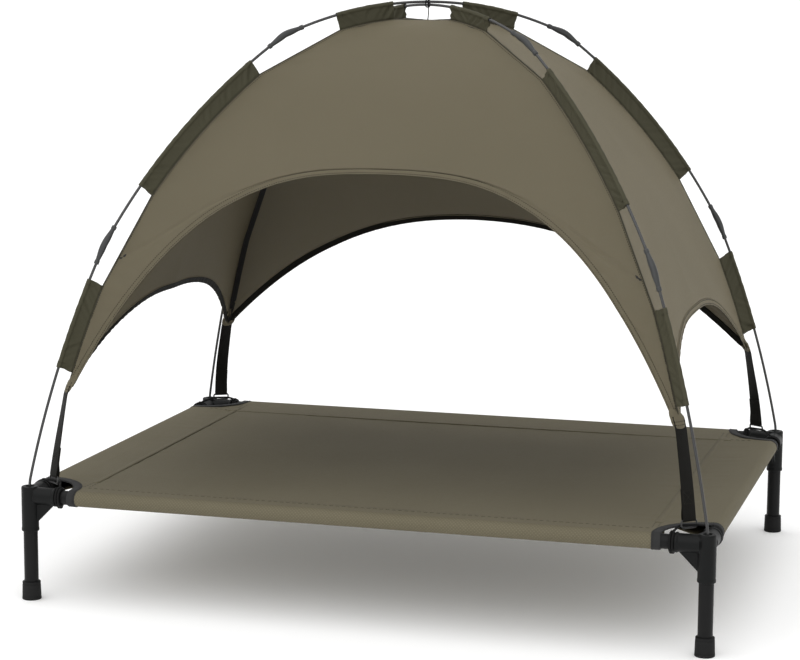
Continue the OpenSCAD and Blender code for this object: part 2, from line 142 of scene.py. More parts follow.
def grid(points: np.ndarray, cloth: np.ndarray | None = None, slot: int = 0) -> Patch:
    """A surface from a grid of points.

    Args:
        points: rows x columns x 3, in millimetres.
        cloth: rows x columns x 2, or nothing for the mean run lengths along rows and columns.
        slot: the number of its material.
    Returns:
        The patch.
    """
    rows, cols = points.shape[:2]
    if cloth is None:
        u = run_length(points[:, cols // 2])
        v = run_length(points[rows // 2])
        cloth = np.stack(np.meshgrid(u, v, indexing="ij"), 2)
    return Patch(points.reshape(-1, 3), [grid_faces(rows, cols)], cloth.reshape(-1, 2), slot)


def capped_grid(points: np.ndarray) -> Patch:
    """A surface from rings of points whose first and last rings are closed by shrinking them to their middles."""
    ends = np.broadcast_to(points.mean(axis=1, keepdims=True), points.shape)
    return grid(np.concatenate([ends[:1], points, ends[-1:]]))


def rings_round(path: np.ndarray, side: np.ndarray, tangent: np.ndarray, sides: int) -> np.ndarray:
    """Unit spokes round each point of a path: side * cos + lift * sin, where lift is side x tangent.

    Args:
        path: the points of the path.
        side: the direction square to the plane that the path lies in.
        tangent: the path's unit direction at each point.
        sides: the number of points in a ring.
    Returns:
        The spokes, one ring for each point.
    """
    lift = np.cross(side, tangent)
    ring = round_section(1.0, sides)
    return side * ring[None, :, :1] + lift[:, None] * ring[None, :, 1:]


def round_section(radius: float, sides: int) -> np.ndarray:
    """A closed circle of points, its first point repeated at the end."""
    a = np.linspace(0, 2 * np.pi, sides + 1)
    return radius * np.stack([np.cos(a), np.sin(a)], 1)


def oblong_section(width: float, height: float, corner: float, steps: int = 4) -> np.ndarray:
    """A closed rectangle with rounded corners, each corner a quarter circle, its first point repeated."""
    a = np.linspace(0, np.pi / 2, steps + 1)
    quarter = corner * np.stack([np.cos(a), np.sin(a)], 1)
    centres = [(1, 1), (-1, 1), (-1, -1), (1, -1)]
    turns = [np.array([[1, 0], [0, 1]]), np.array([[0, 1], [-1, 0]]),
             np.array([[-1, 0], [0, -1]]), np.array([[0, -1], [1, 0]])]
    inset = np.array([width / 2 - corner, height / 2 - corner])
    points = np.concatenate([quarter @ m + np.array(c) * inset for c, m in zip(centres, turns)])
    return np.concatenate([points, points[:1]])


def sweep(path: np.ndarray, section: np.ndarray, up: np.ndarray, scale: np.ndarray | None = None,
          capped: bool = True, slot: int = 0, closed: bool = False) -> Patch:
    """A profile carried along a path: point = path + side * section x + lift * section y.

    Args:
        path: the points of the path, in millimetres.
        section: the closed profile, with its first point repeated at its end.
        up: the direction of the profile's y, one for the path or one for each point.
        scale: the profile's size at each point of the path.
        capped: whether the ends are closed, by shrinking a last ring to the path.
        slot: the number of its material.
        closed: whether the path is a loop whose last point repeats its first.
    Returns:
        The patch, open lengthways only where it isn't capped.
    """
    tangent = np.gradient(path, axis=0)
    if closed:
        tangent[0] = tangent[-1] = path[1] - path[-2]
    tangent = unit(tangent)
    side = unit(np.cross(tangent, np.broadcast_to(up, path.shape)))
    lift = np.cross(side, tangent)
    size = np.ones(len(path)) if scale is None else scale
    ring = side[:, None] * section[None, :, :1] + lift[:, None] * section[None, :, 1:2]
    points = path[:, None] + ring * size[:, None, None]
    along = run_length(path)
    around = run_length(section)
    cloth = np.stack(np.meshgrid(along, around, indexing="ij"), 2)
    if capped and not closed:
        ends = np.broadcast_to(path[[0, -1], None], (2, len(section), 3))
        points = np.concatenate([ends[:1], points, ends[1:]])
        cloth = np.concatenate([cloth[:1], cloth, cloth[-1:]])
    return grid(points, cloth, slot)


def lathe(profile: np.ndarray, start: np.ndarray, axis: np.ndarray, sides: int = 40, slot: int = 0) -> Patch:
    """A turned shape: each (radius, height) of the profile becomes a ring round the axis.

    Args:
        profile: rows of (radius, height); a radius of 0 closes the shape.
        start: the point of height 0, in millimetres.
        axis: the unit direction of the axis.
        sides: the number of points in a ring.
        slot: the number of its material.
    Returns:
        The patch.
    """
    across = unit(np.cross(axis, [0.3, 0.9, 0.2]))
    third = np.cross(axis, across)
    a = np.linspace(0, 2 * np.pi, sides + 1)
    spoke = across * np.cos(a)[:, None] + third * np.sin(a)[:, None]
    points = start + profile[:, None, :1] * spoke[None] + profile[:, None, 1:2] * axis
    widest = profile[:, 0].max()
    cloth = np.stack(np.meshgrid(run_length(profile), a * widest, indexing="ij"), 2)
    return grid(points, cloth, slot)


def stitches(path: np.ndarray, normal: np.ndarray, pitch: float = 4.0, slot: int = 0) -> Patch:
    """A row of sewn stitches: small closed lozenges, two thirds of a pitch long, that lie along a path.

    Args:
        path: the points of the sewn line, in millimetres.
        normal: the cloth's outward direction, one or one for each point.
        pitch: the distance from one stitch to the next.
        slot: the number of its material.
    Returns:
        The patch, fifteen faces a stitch.
    """
    wide, high, sides = 0.6, 0.4, 5
    length = run_length(path)
    count = max(1, int(length[-1] / pitch))
    at = (np.arange(count) + 0.5) * length[-1] / count
    centre = np.stack([np.interp(at, length, path[:, k]) for k in range(3)], 1)
    ahead = np.stack([np.interp(at + 0.5, length, path[:, k]) for k in range(3)], 1)
    back = np.stack([np.interp(at - 0.5, length, path[:, k]) for k in range(3)], 1)
    tangent = unit(ahead - back)
    facing = np.broadcast_to(normal, path.shape)
    facing = unit(np.stack([np.interp(at, length, facing[:, k]) for k in range(3)], 1))
    side = unit(np.cross(tangent, facing))
    a = np.arange(sides) * 2 * np.pi / sides
    ring = np.stack([np.zeros(sides), wide * np.cos(a), high * np.sin(a)], 1)
    half = pitch / 3
    near, far = ring - [half * 0.72, 0, 0], ring + [half * 0.72, 0, 0]
    local = np.concatenate([[[-half, 0, 0]], near, far, [[half, 0, 0]]])
    axes = np.stack([tangent, side, facing], 1)
    points = centre[:, None] + np.einsum("nk,skd->snd", local, axes)
    k = np.arange(sides)
    nxt = (k + 1) % sides
    first = np.stack([np.zeros(sides, int), 1 + nxt, 1 + k], 1)
    last = np.stack([np.full(sides, 2 * sides + 1), 1 + sides + k, 1 + sides + nxt], 1)
    middle = np.stack([1 + k, 1 + nxt, 1 + sides + nxt, 1 + sides + k], 1)
    offset = np.arange(count)[:, None, None] * (2 * sides + 2)
    faces = [(np.concatenate([first, last])[None] + offset).reshape(-1, 3),
             (middle[None] + offset).reshape(-1, 4)]
    return Patch(points.reshape(-1, 3), faces, np.zeros((points.shape[0] * points.shape[1], 2)), slot)


def joined(patches: list[Patch]) -> tuple[np.ndarray, list, list, np.ndarray]:
    """Puts patches together and welds points closer than 1/500 mm.

    Args:
        patches: the surfaces.
    Returns:
        The welded points, the faces, each face set's material number, and the cloth coordinates of each corner.
    """
    points = np.concatenate([p.points for p in patches])
    cloth = np.concatenate([p.cloth for p in patches])
    _, first, where = np.unique(np.round(points * 500).astype(np.int64), axis=0, return_index=True,
                                return_inverse=True)
    where = where.ravel()
    faces, slots, corners, offset = [], [], [], 0
    for p in patches:
        for rows in p.faces:
            rows = rows + offset
            new = where[rows]
            same = new == np.roll(new, -1, axis=1)
            sound = ~same.any(axis=1)
            faces.append(new[sound])
            corners.append(cloth[rows[sound]])
            slots.append(p.slot)
            if rows.shape[1] == 4:
                for k in range(4):
                    pick = same[:, k] & (same.sum(axis=1) == 1)
                    keep = [j for j in range(4) if j != k]
                    faces.append(new[pick][:, keep])
                    corners.append(cloth[rows[pick][:, keep]])
                    slots.append(p.slot)
        offset += len(p.points)
    return points[first], faces, slots, np.concatenate([c.reshape(-1, 2) for c in corners])


class Wall(Enum):
    """How a piece's surface becomes a solid."""
    CLOSED = "the surface is already closed"
    CLOTH = "a sheet that Solidify thickens inwards"


@dataclass
class Piece:
    """One named object of the bed, its body, material slot and finishes."""
    name: str
    patches: list[Patch]
    finishes: list
    slot: str
    body: str
    stands_for: tuple = ()
    wall: Wall = Wall.CLOSED
    thickness: float = 1.0
    sharp_angle: float = 38.0
    outward: np.ndarray | None = None

    def build(self) -> bpy.types.Object:
        """Returns:
            The finished object, at the origin.
        """
        points, faces, slots, cloth = joined(self.patches)
        mesh = bpy.data.meshes.new(self.name)
        mesh.vertices.add(len(points))
        mesh.vertices.foreach_set("co", (points * MM).astype(np.float32).ravel())
        loops = np.concatenate([f.ravel() for f in faces])
        sizes = np.concatenate([np.full(len(f), f.shape[1]) for f in faces])
        numbers = np.concatenate([np.full(len(f), s) for f, s in zip(faces, slots)])
        mesh.loops.add(len(loops))
        mesh.loops.foreach_set("vertex_index", loops.astype(np.int32))
        mesh.polygons.add(len(sizes))
        mesh.polygons.foreach_set("loop_start", np.concatenate([[0], np.cumsum(sizes)[:-1]]).astype(np.int32))
        mesh.polygons.foreach_set("material_index", numbers.astype(np.int32))
        mesh.polygons.foreach_set("use_smooth", np.ones(len(sizes), bool))
        mesh.update(calc_edges=True)
        layer = mesh.uv_layers.new(name="cloth")
        layer.data.foreach_set("uv", (cloth * MM).astype(np.float32).ravel())
        mesh.validate()
        self.face_outwards(mesh)
        mesh.set_sharp_from_angle(angle=math.radians(self.sharp_angle))
        for finish in self.finishes:
            mesh.materials.append(finish.material())
        piece = bpy.data.objects.new(self.name, mesh)
        bpy.context.collection.objects.link(piece)
        if self.wall is Wall.CLOTH:
            thicken = piece.modifiers.new("Cloth thickness", "SOLIDIFY")
            thicken.thickness = self.thickness * MM
            thicken.offset = -1.0
            thicken.use_even_offset = False
        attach(piece, self.body)
        if self.stands_for:
            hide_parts(*self.stands_for)
        log.info("%s: %d points, %d faces, rides on %s", self.name, len(points), len(sizes), self.body)
        return piece

    def face_outwards(self, mesh: bpy.types.Mesh) -> None:
        """Turns the faces outwards: by volume on a closed shape, and along a given direction on a sheet."""
        work = bmesh.new()
        work.from_mesh(mesh)
        bmesh.ops.recalc_face_normals(work, faces=work.faces)
        if self.outward is not None:
            total = sum((f.normal * f.calc_area() for f in work.faces), work.faces[:1][0].normal * 0)
            if total.dot(self.outward.tolist()) < 0:
                bmesh.ops.reverse_faces(work, faces=work.faces)
        work.to_mesh(mesh)
        work.free()


# --- Materials --------------------------------------------------------------------
def linear(colour: str) -> tuple[float, float, float, float]:
    """An sRGB hex colour as linear red, green, blue and an alpha of 1."""
    parts = [int(colour[i:i + 2], 16) / 255 for i in (1, 3, 5)]
    return tuple(c / 12.92 if c <= 0.04045 else ((c + 0.055) / 1.055) ** 2.4 for c in parts) + (1.0,)


def add_node(tree: bpy.types.NodeTree, kind: str, inputs: dict | None = None, **settings) -> bpy.types.Node:
    """Adds a node, sets its properties, and fills or links its inputs.

    Args:
        tree: the material's node tree.
        kind: the node's type name.
        inputs: values or output sockets, by input name or number.
        settings: properties of the node.
    Returns:
        The new node.
    """
    new = tree.nodes.new(kind)
    for name, value in settings.items():
        setattr(new, name, value)
    for name, value in (inputs or {}).items():
        if isinstance(value, bpy.types.NodeSocket):
            tree.links.new(value, new.inputs[name])
        else:
            new.inputs[name].default_value = value
    return new


@dataclass(frozen=True)
class Finish:
    """What every finish has: its colours, its gloss and a gentle large-scale variation."""
    name: str
    colour: str
    shade: str
    roughness: float
    ior: float
    patch_mm: float = 60.0

    def start(self) -> tuple:
        """A new material with its shader, its object coordinates and its blended base colour.

        Returns:
            The material, tree, shader, coordinates node and the colour's mix node.
        """
        material = bpy.data.materials.new(self.name)
        material.use_nodes = True
        tree = material.node_tree
        shader = tree.nodes["Principled BSDF"]
        shader.inputs["IOR"].default_value = self.ior
        coords = add_node(tree, "ShaderNodeTexCoord")
        cloud = add_node(tree, "ShaderNodeTexNoise", {
            "Vector": coords.outputs["Object"], "Scale": 1 / (self.patch_mm * MM), "Detail": 3.0})
        mix = add_node(tree, "ShaderNodeMix", {
            0: cloud.outputs["Fac"], 6: linear(self.colour), 7: linear(self.shade)}, data_type="RGBA")
        tree.links.new(mix.outputs[2], shader.inputs["Base Color"])
        material.diffuse_color = linear(self.colour)
        return material, tree, shader, coords, mix

    def material(self) -> bpy.types.Material:
        """The finish's material, made once and then shared by name."""
        return bpy.data.materials.get(self.name) or self.make()

    def noise(self, tree: bpy.types.NodeTree, coords: bpy.types.Node, size_mm: float,
              detail: float) -> bpy.types.NodeSocket:
        """Noise whose cells are about the given size in millimetres, from 0 to 1."""
        return add_node(tree, "ShaderNodeTexNoise", {
            "Vector": coords.outputs["Object"], "Scale": 1 / (size_mm * MM), "Detail": detail}).outputs["Fac"]

    def turned_map(self, tree: bpy.types.NodeTree, coords: bpy.types.Node, degrees: float) -> bpy.types.NodeSocket:
        """The cloth map, turned by an angle."""
        return add_node(tree, "ShaderNodeMapping", {
            "Vector": coords.outputs["UV"], "Rotation": (0, 0, math.radians(degrees))}).outputs["Vector"]

    def bands(self, tree: bpy.types.NodeTree, vector: bpy.types.NodeSocket, pitch_mm: float, direction: str = "X",
              extra: dict | None = None) -> bpy.types.NodeSocket:
        """Sine bands of the given pitch in millimetres, from 0 to 1.

        Args:
            tree: the material's node tree.
            vector: the coordinates.
            pitch_mm: the distance from one band to the next.
            direction: the axis that the bands follow each other along.
            extra: more inputs of the wave, by name.
        Returns:
            The bands' height.
        """
        return add_node(tree, "ShaderNodeTexWave", {
            "Vector": vector, "Scale": 2 * math.pi / (20 * pitch_mm * MM), **(extra or {})},
            bands_direction=direction, wave_profile="SIN").outputs["Fac"]

    def combined(self, tree: bpy.types.NodeTree, a: bpy.types.NodeSocket, b: bpy.types.NodeSocket,
                 operation: str) -> bpy.types.NodeSocket:
        """Two values put together by a maths operation."""
        return add_node(tree, "ShaderNodeMath", {0: a, 1: b}, operation=operation).outputs[0]

    def vary_roughness(self, tree: bpy.types.NodeTree, shader: bpy.types.Node, source: bpy.types.NodeSocket,
                       spread: float) -> None:
        """Roughness moves by the spread either side of its typical value, as the source goes from 0 to 1."""
        span = add_node(tree, "ShaderNodeMapRange", {
            "Value": source, "To Min": self.roughness - spread, "To Max": self.roughness + spread})
        tree.links.new(span.outputs["Result"], shader.inputs["Roughness"])

    def bump(self, tree: bpy.types.NodeTree, shader: bpy.types.Node, height: bpy.types.NodeSocket,
             depth_mm: float) -> None:
        """Adds relief: the height, from 0 to 1, stands for the given depth in millimetres."""
        relief = add_node(tree, "ShaderNodeBump", {
            "Height": height, "Distance": depth_mm * MM, "Strength": 1.0})
        tree.links.new(relief.outputs["Normal"], shader.inputs["Normal"])


@dataclass(frozen=True)
class WovenCloth(Finish):
    """Coated polyester, woven: threads cross in a plain weave that is drawn coarse enough to show."""
    thread_mm: float = 2.4
    relief_mm: float = 0.16
    glow: float = 0.0
    turned: float = 0.0
    contrast: float = 0.1

    def make(self) -> bpy.types.Material:
        """The cloth's material: two crossed rows of threads on the cloth map, mottled by fine noise.

        Returns:
            The material.
        """
        material, tree, shader, coords, mix = self.start()
        shader.inputs["Specular IOR Level"].default_value = 0.2
        shader.inputs["Subsurface Weight"].default_value = self.glow
        shader.inputs["Subsurface Radius"].default_value = (1.0, 1.0, 1.0)
        shader.inputs["Subsurface Scale"].default_value = 3 * MM
        turn = self.turned_map(tree, coords, self.turned)
        wander = {"Distortion": 0.6, "Detail": 1.0, "Detail Scale": 2.0}
        threads = [self.bands(tree, turn, self.thread_mm, direction, wander) for direction in ("X", "Y")]
        weave = self.combined(tree, *threads, "MULTIPLY")
        slub = self.noise(tree, coords, self.thread_mm * 1.7, 2.0)
        self.bump(tree, shader, self.combined(tree, weave, slub, "ADD"), self.relief_mm)
        self.vary_roughness(tree, shader, slub, 0.06)
        darker = add_node(tree, "ShaderNodeMapRange", {
            "Value": weave, "To Min": 1 - self.contrast, "To Max": 1 + self.contrast})
        shaded = add_node(tree, "ShaderNodeVectorMath", {
            0: mix.outputs[2], "Scale": darker.outputs["Result"]}, operation="SCALE")
        tree.links.new(shaded.outputs[0], shader.inputs["Base Color"])
        return material


@dataclass(frozen=True)
class RibbedTape(Finish):
    """Woven tape or webbing: ribs across its width, and a raised selvedge where the map says."""
    rib_mm: float = 1.8
    relief_mm: float = 0.25
    twill: bool = False

    def make(self) -> bpy.types.Material:
        """The tape's material: ribs along the cloth map, or a slanting twill.

        Returns:
            The material.
        """
        material, tree, shader, coords, _ = self.start()
        shader.inputs["Specular IOR Level"].default_value = 0.14
        turn = self.turned_map(tree, coords, 38 if self.twill else 0)
        ribs = self.bands(tree, turn, self.rib_mm, "X", {"Distortion": 0.4, "Detail": 1.0})
        fuzz = self.noise(tree, coords, 0.9, 2.0)
        self.bump(tree, shader, self.combined(tree, ribs, fuzz, "ADD"), self.relief_mm)
        self.vary_roughness(tree, shader, fuzz, 0.05)
        return material


@dataclass(frozen=True)
class Moulded(Finish):
    """Moulded plastic or rubber, or powder coat on steel: a fine grain, and a lighter colour on its most pointed
    edges: abrasion, and on the wire ring and the ferrules a painted highlight.
    """
    grain_mm: float = 1.1
    relief_mm: float = 0.05
    gloss: float = 0.14
    # The lighter colour on the most pointed edges: abrasion, and this default, used on the wire ring, is a painted
    # metallic highlight.
    glint_and_wear: str = "#4a4a48"

    def make(self) -> bpy.types.Material:
        """The material: grain from a noise of the grain's size, and a lighter colour where the surface is most
        pointed: abrasion, and on the wire ring and the ferrules a painted highlight.

        Returns:
            The material.
        """
        material, tree, shader, coords, mix = self.start()
        shader.inputs["Specular IOR Level"].default_value = self.gloss
        grain = self.noise(tree, coords, self.grain_mm, 4.0)
        edges = add_node(tree, "ShaderNodeNewGeometry")
        # Pointed edges get the lighter colour: abrasion, and on the wire ring and the ferrules a painted highlight.
        glint_and_wear_edges = add_node(tree, "ShaderNodeMapRange", {
            "Value": edges.outputs["Pointiness"], "From Min": 0.53, "From Max": 0.6})
        glint_and_wear_mask = self.combined(tree, glint_and_wear_edges.outputs["Result"], grain, "MULTIPLY")
        glint_and_wear_mix = add_node(tree, "ShaderNodeMix", {
            0: glint_and_wear_mask, 6: mix.outputs[2], 7: linear(self.glint_and_wear)}, data_type="RGBA")
        tree.links.new(glint_and_wear_mix.outputs[2], shader.inputs["Base Color"])
        self.bump(tree, shader, grain, self.relief_mm)
        self.vary_roughness(tree, shader, grain, 0.06)
        return material


@dataclass(frozen=True)
class Braid(Finish):
    """A braided cord: strands cross it on the slant, both ways round."""
    strand_mm: float = 2.2
    relief_mm: float = 0.3

    def make(self) -> bpy.types.Material:
        """The cord's material: two slanting rows of strands on the map, along and around the cord.

        Returns:
            The material.
        """
        material, tree, shader, coords, _ = self.start()
        shader.inputs["Specular IOR Level"].default_value = 0.14
        rows = [self.bands(tree, self.turned_map(tree, coords, slant), self.strand_mm) for slant in (40, -40)]
        height = self.combined(tree, *rows, "MAXIMUM")
        self.bump(tree, shader, height, self.relief_mm)
        self.vary_roughness(tree, shader, height, 0.05)
        return material


# Powder-coated steel: near-black polyester powder with a slight orange peel.
STEEL = Moulded("powder_coated_steel", "#151515", "#111111", 0.4, 1.5, 90, grain_mm=1.6, relief_mm=0.04,
                glint_and_wear="#2c2c2c")
# Nylon moulding: a satin grain, rubbed a little lighter on its edges.
NYLON = Moulded("moulded_nylon", "#0e0f0f", "#0b0c0c", 0.45, 1.53, 40, grain_mm=1.0, relief_mm=0.05,
                glint_and_wear="#2c2c2c")
# Rubber foot: matt and a shade darker.
RUBBER = Moulded("foot_rubber", "#1c1c1c", "#171717", 0.68, 1.52, 30, grain_mm=0.9, relief_mm=0.05,
                 glint_and_wear="#2c2c2c")
# Ferrule of soft plastic: satin, dark grey; its lighter edge colour is a painted highlight.
FERRULE = Moulded("ferrule_plastic", "#363737", "#2d2e2e", 0.4, 1.49, 30, grain_mm=0.9, relief_mm=0.04,
                  glint_and_wear="#3a3b3b", gloss=0.4)
# Glass-fibre rod: pultruded, dark grey, with a resin gloss.
GLASS_FIBRE = Moulded("glass_fibre_rod", "#0f1010", "#0c0d0d", 0.4, 1.52, 20, grain_mm=0.8, relief_mm=0.02,
                      glint_and_wear="#0f1010", gloss=0.1)
# Buckle wire: black lacquered steel; the default lighter edge colour, kept here, is a painted metallic highlight.
BUCKLE = Moulded("lacquered_wire", "#222222", "#1c1c1c", 0.32, 1.5, 20, grain_mm=0.8, relief_mm=0.02,
                 gloss=0.5)
# Deck: heavy coated polyester whose weave shows close up.
DECK = WovenCloth("deck_cloth", "#6b6553", "#645e4c", 0.78, 1.47, 160, thread_mm=4.2, relief_mm=0.4,
                  turned=45, contrast=0.16)
# Canopy: thin coated polyester, smooth, with a weave too fine to show, drawn coarse and faint.
CANOPY_CLOTH = WovenCloth("canopy_cloth", "#665f4e", "#605a49", 0.75, 1.47, 240, thread_mm=2.2, relief_mm=0.05,
                          glow=0.6, contrast=0.03)
# Sleeve: the same cloth folded double, a shade darker.
SLEEVE_CLOTH = WovenCloth("sleeve_cloth", "#444233", "#3d3b2d", 0.7, 1.47, 60, thread_mm=2.0, relief_mm=0.1,
                          contrast=0.05)
# Binding: black grosgrain tape with fine ribs across it.
BINDING = RibbedTape("binding_tape", "#121210", "#0f0f0d", 0.66, 1.47, 40, rib_mm=1.8, relief_mm=0.2)
# Webbing: brown-black polypropylene with a twill face.
WEBBING = RibbedTape("strap_webbing", "#100f0b", "#0d0c08", 0.62, 1.49, 50, rib_mm=2.2, relief_mm=0.3, twill=True)
# Thread: spun polyester, one shade darker than the cloth.
THREAD = Braid("sewing_thread", "#2f2c22", "#29261d", 0.6, 1.5, 30, strand_mm=0.8, relief_mm=0.1)
DARK_THREAD = Braid("black_thread", "#26241e", "#1d1b16", 0.6, 1.5, 30, strand_mm=0.8, relief_mm=0.1)
# Elastic cord: a black braided jacket.
ELASTIC = Braid("elastic_cord", "#121212", "#0e0e0e", 0.55, 1.48, 30, strand_mm=2.0, relief_mm=0.3)
# Shock cord: white rubber strands in a pale braided jacket.
SHOCK = Moulded("shock_cord_jacket", "#d6d4cc", "#c4c2ba", 0.6, 1.5, 20, grain_mm=0.8, relief_mm=0.1,
                glint_and_wear="#e0ded6")
# Arch tape: a dark olive tape that binds the arches inside.
ARCH_TAPE = RibbedTape("arch_tape", "#14130d", "#100f0a", 0.7, 1.47, 40, rib_mm=1.8, relief_mm=0.1)
# Piping: the canopy's cloth cut on the bias, in its own shade.
DARK_TRIM = WovenCloth("seam_piping", "#3f3c31", "#363329", 0.6, 1.47, 40, thread_mm=1.6, relief_mm=0.08)


# --- The bed's own geometry ----------------------------------------------------------
class Corner(Enum):
    """The four corners: each is a side in x and a side in y, and how its pole crosses at the top."""
    FRONT_LEFT = (-1, -1, 1)
    FRONT_RIGHT = (1, -1, -1)
    REAR_LEFT = (-1, 1, -1)
    REAR_RIGHT = (1, 1, 1)

    @property
    def label(self) -> str:
        """The corner's name in the CAD nodes."""
        return self.name.lower()


@dataclass
class Plan:
    """The bed's main sizes in millimetres, read from the CAD nodes' boxes where they give them."""
    tube_r: float = 12.5
    pole_rise: float = 2.65

    def __post_init__(self) -> None:
        """Works out leg spacing and heights from the legs, rails, deck and connectors."""
        leg = [np.array(p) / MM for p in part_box("leg_rear_right")]
        rail = [np.array(p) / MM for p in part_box("front_rail")]
        self.half_l = float(leg[0][0] + leg[1][0]) / 2
        self.half_w = float(leg[0][1] + leg[1][1]) / 2
        self.rail_z = float(rail[0][2] + rail[1][2]) / 2
        self.rail_end = self.half_l - float(rail[1][0])
        self.leg_z = (float(leg[0][2]), float(leg[1][2]))
        self.deck_top = float(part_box("bed_sheet")[1][2]) / MM
        self.corner_top = float(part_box("corner_front_left")[1][2]) / MM
        self.corner_low = float(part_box("corner_front_left")[0][2]) / MM
        self.half_diag = math.hypot(self.half_l, self.half_w)
        self.ux, self.uy = self.half_l / self.half_diag, self.half_w / self.half_diag

    def outwards(self, corner: Corner) -> np.ndarray:
        """The unit direction from the centre to a corner."""
        sx, sy, _ = corner.value
        return np.array([sx * self.ux, sy * self.uy, 0.0])

    def sideways(self, corner: Corner) -> np.ndarray:
        """The unit direction square to a corner's diagonal, to the left of one who looks outwards."""
        d = self.outwards(corner)
        return np.array([-d[1], d[0], 0.0])

    def at_diagonal(self, corner: Corner, s: np.ndarray, z: np.ndarray, w: np.ndarray | float = 0.0) -> np.ndarray:
        """Points in a corner's diagonal plane: s outwards, z up and w to the side.

        Args:
            corner: which corner.
            s: distances from the centre.
            z: heights.
            w: distances to the side of the plane.
        Returns:
            The points, with x, y and z last.
        """
        s, z, w = np.broadcast_arrays(s, z, w)
        return s[..., None] * self.outwards(corner) + w[..., None] * self.sideways(corner) + z[..., None] * UP

    def corner_frame(self, corner: Corner) -> tuple[np.ndarray, np.ndarray]:
        """The matrix and shift that take a corner drawn with +x and +y inboard to its place."""
        sx, sy, _ = corner.value
        return np.diag([-sx, -sy, 1.0]), np.array([sx * self.half_l, sy * self.half_w, 0.0])


PLAN = Plan()


@dataclass
class Stretch:
    """A length of pole that leans from one angle to another, as an arc or as a straight line."""
    start: np.ndarray
    lean_a: float
    lean_b: float
    length: float

    def at(self, x: np.ndarray) -> np.ndarray:
        """Points at distances along it: centre + radius * (cos lean, sin lean), or start + x * direction."""
        a = math.radians(self.lean_a)
        if abs(self.lean_b - self.lean_a) < 1e-6:
            return self.start + x[..., None] * np.array([-math.sin(a), math.cos(a)])
        radius = self.length / (math.radians(self.lean_b) - a)
        lean = a + x / radius
        centre = self.start - radius * np.array([math.cos(a), math.sin(a)])
        return centre + radius * np.stack([np.cos(lean), np.sin(lean)], -1)


@dataclass
class PoleLine:
    """Half a canopy pole in its diagonal plane: rods that bow, joined by bent ferrules."""
    tip_z: float = 162.0
    foot_bend: float = 14.0
    lean_foot: float = 12.5
    lean_lower: float = 24.0
    bend_lower: float = 8.0
    lean_upper: float = 53.0
    bend_upper: float = 16.0
    lower_rod: float = 392.0
    upper_rod: float = 420.0
    ferrule: float = 74.0
    elbow: float = 6.0

    def __post_init__(self) -> None:
        """Chains the stretches from the tip in the connector to the crossing over the centre."""
        arm = self.ferrule / 2 - self.elbow
        lean2, lean3 = self.lean_lower + self.bend_lower, self.lean_upper + self.bend_upper
        turn1 = self.elbow / math.tan(math.radians(self.bend_lower / 2)) * math.radians(self.bend_lower)
        turn2 = self.elbow / math.tan(math.radians(self.bend_upper / 2)) * math.radians(self.bend_upper)
        plan = [(0, 0, PLAN.corner_top - 2 - self.tip_z), (0, self.lean_foot, self.foot_bend),
                (self.lean_foot, self.lean_lower, self.lower_rod),
                (self.lean_lower, self.lean_lower, arm), (self.lean_lower, lean2, turn1), (lean2, lean2, arm),
                (lean2, self.lean_upper, self.upper_rod),
                (self.lean_upper, self.lean_upper, arm), (self.lean_upper, lean3, turn2), (lean3, lean3, arm)]
        start = np.array([PLAN.half_diag, self.tip_z])
        self.parts, self.starts, run = [], [], 0.0
        for a, b, length in plan:
            part = Stretch(start, a, b, length)
            self.parts.append(part)
            self.starts.append(run)
            start, run = part.at(np.array(length)), run + length
        top = start[0] / math.cos(math.radians(lean3)) * math.radians(90 - lean3)
        self.parts.append(Stretch(start, lean3, 90.0, top))
        self.starts.append(run)
        self.length = run + top
        self.lower_at, self.ferrule1_at, self.upper_at = self.starts[2], self.starts[3], self.starts[6]
        self.ferrule2_at, self.top_at = self.starts[7], self.starts[10]

    def at(self, x: np.ndarray) -> np.ndarray:
        """Points (distance from centre, height) at distances from the tip."""
        x = np.asarray(x, float)
        out = np.zeros(x.shape + (2,))
        for part, start in zip(self.parts, self.starts):
            inside = (x >= start - 1e-6)
            out[inside] = part.at(x[inside] - start)
        return out

    def outward(self, x: np.ndarray) -> np.ndarray:
        """The unit direction from the pole's hollow side to its outer side, at distances from the tip."""
        ahead = unit(self.at(np.asarray(x) + 0.5) - self.at(np.asarray(x) - 0.5))
        return np.stack([ahead[..., 1], -ahead[..., 0]], -1)


POLE = PoleLine()
SLEEVE_RUNS = [(POLE.lower_at + 200, POLE.lower_at + 363), (POLE.upper_at + 83, POLE.upper_at + 379),
               (POLE.top_at + 66, POLE.top_at + 175)]


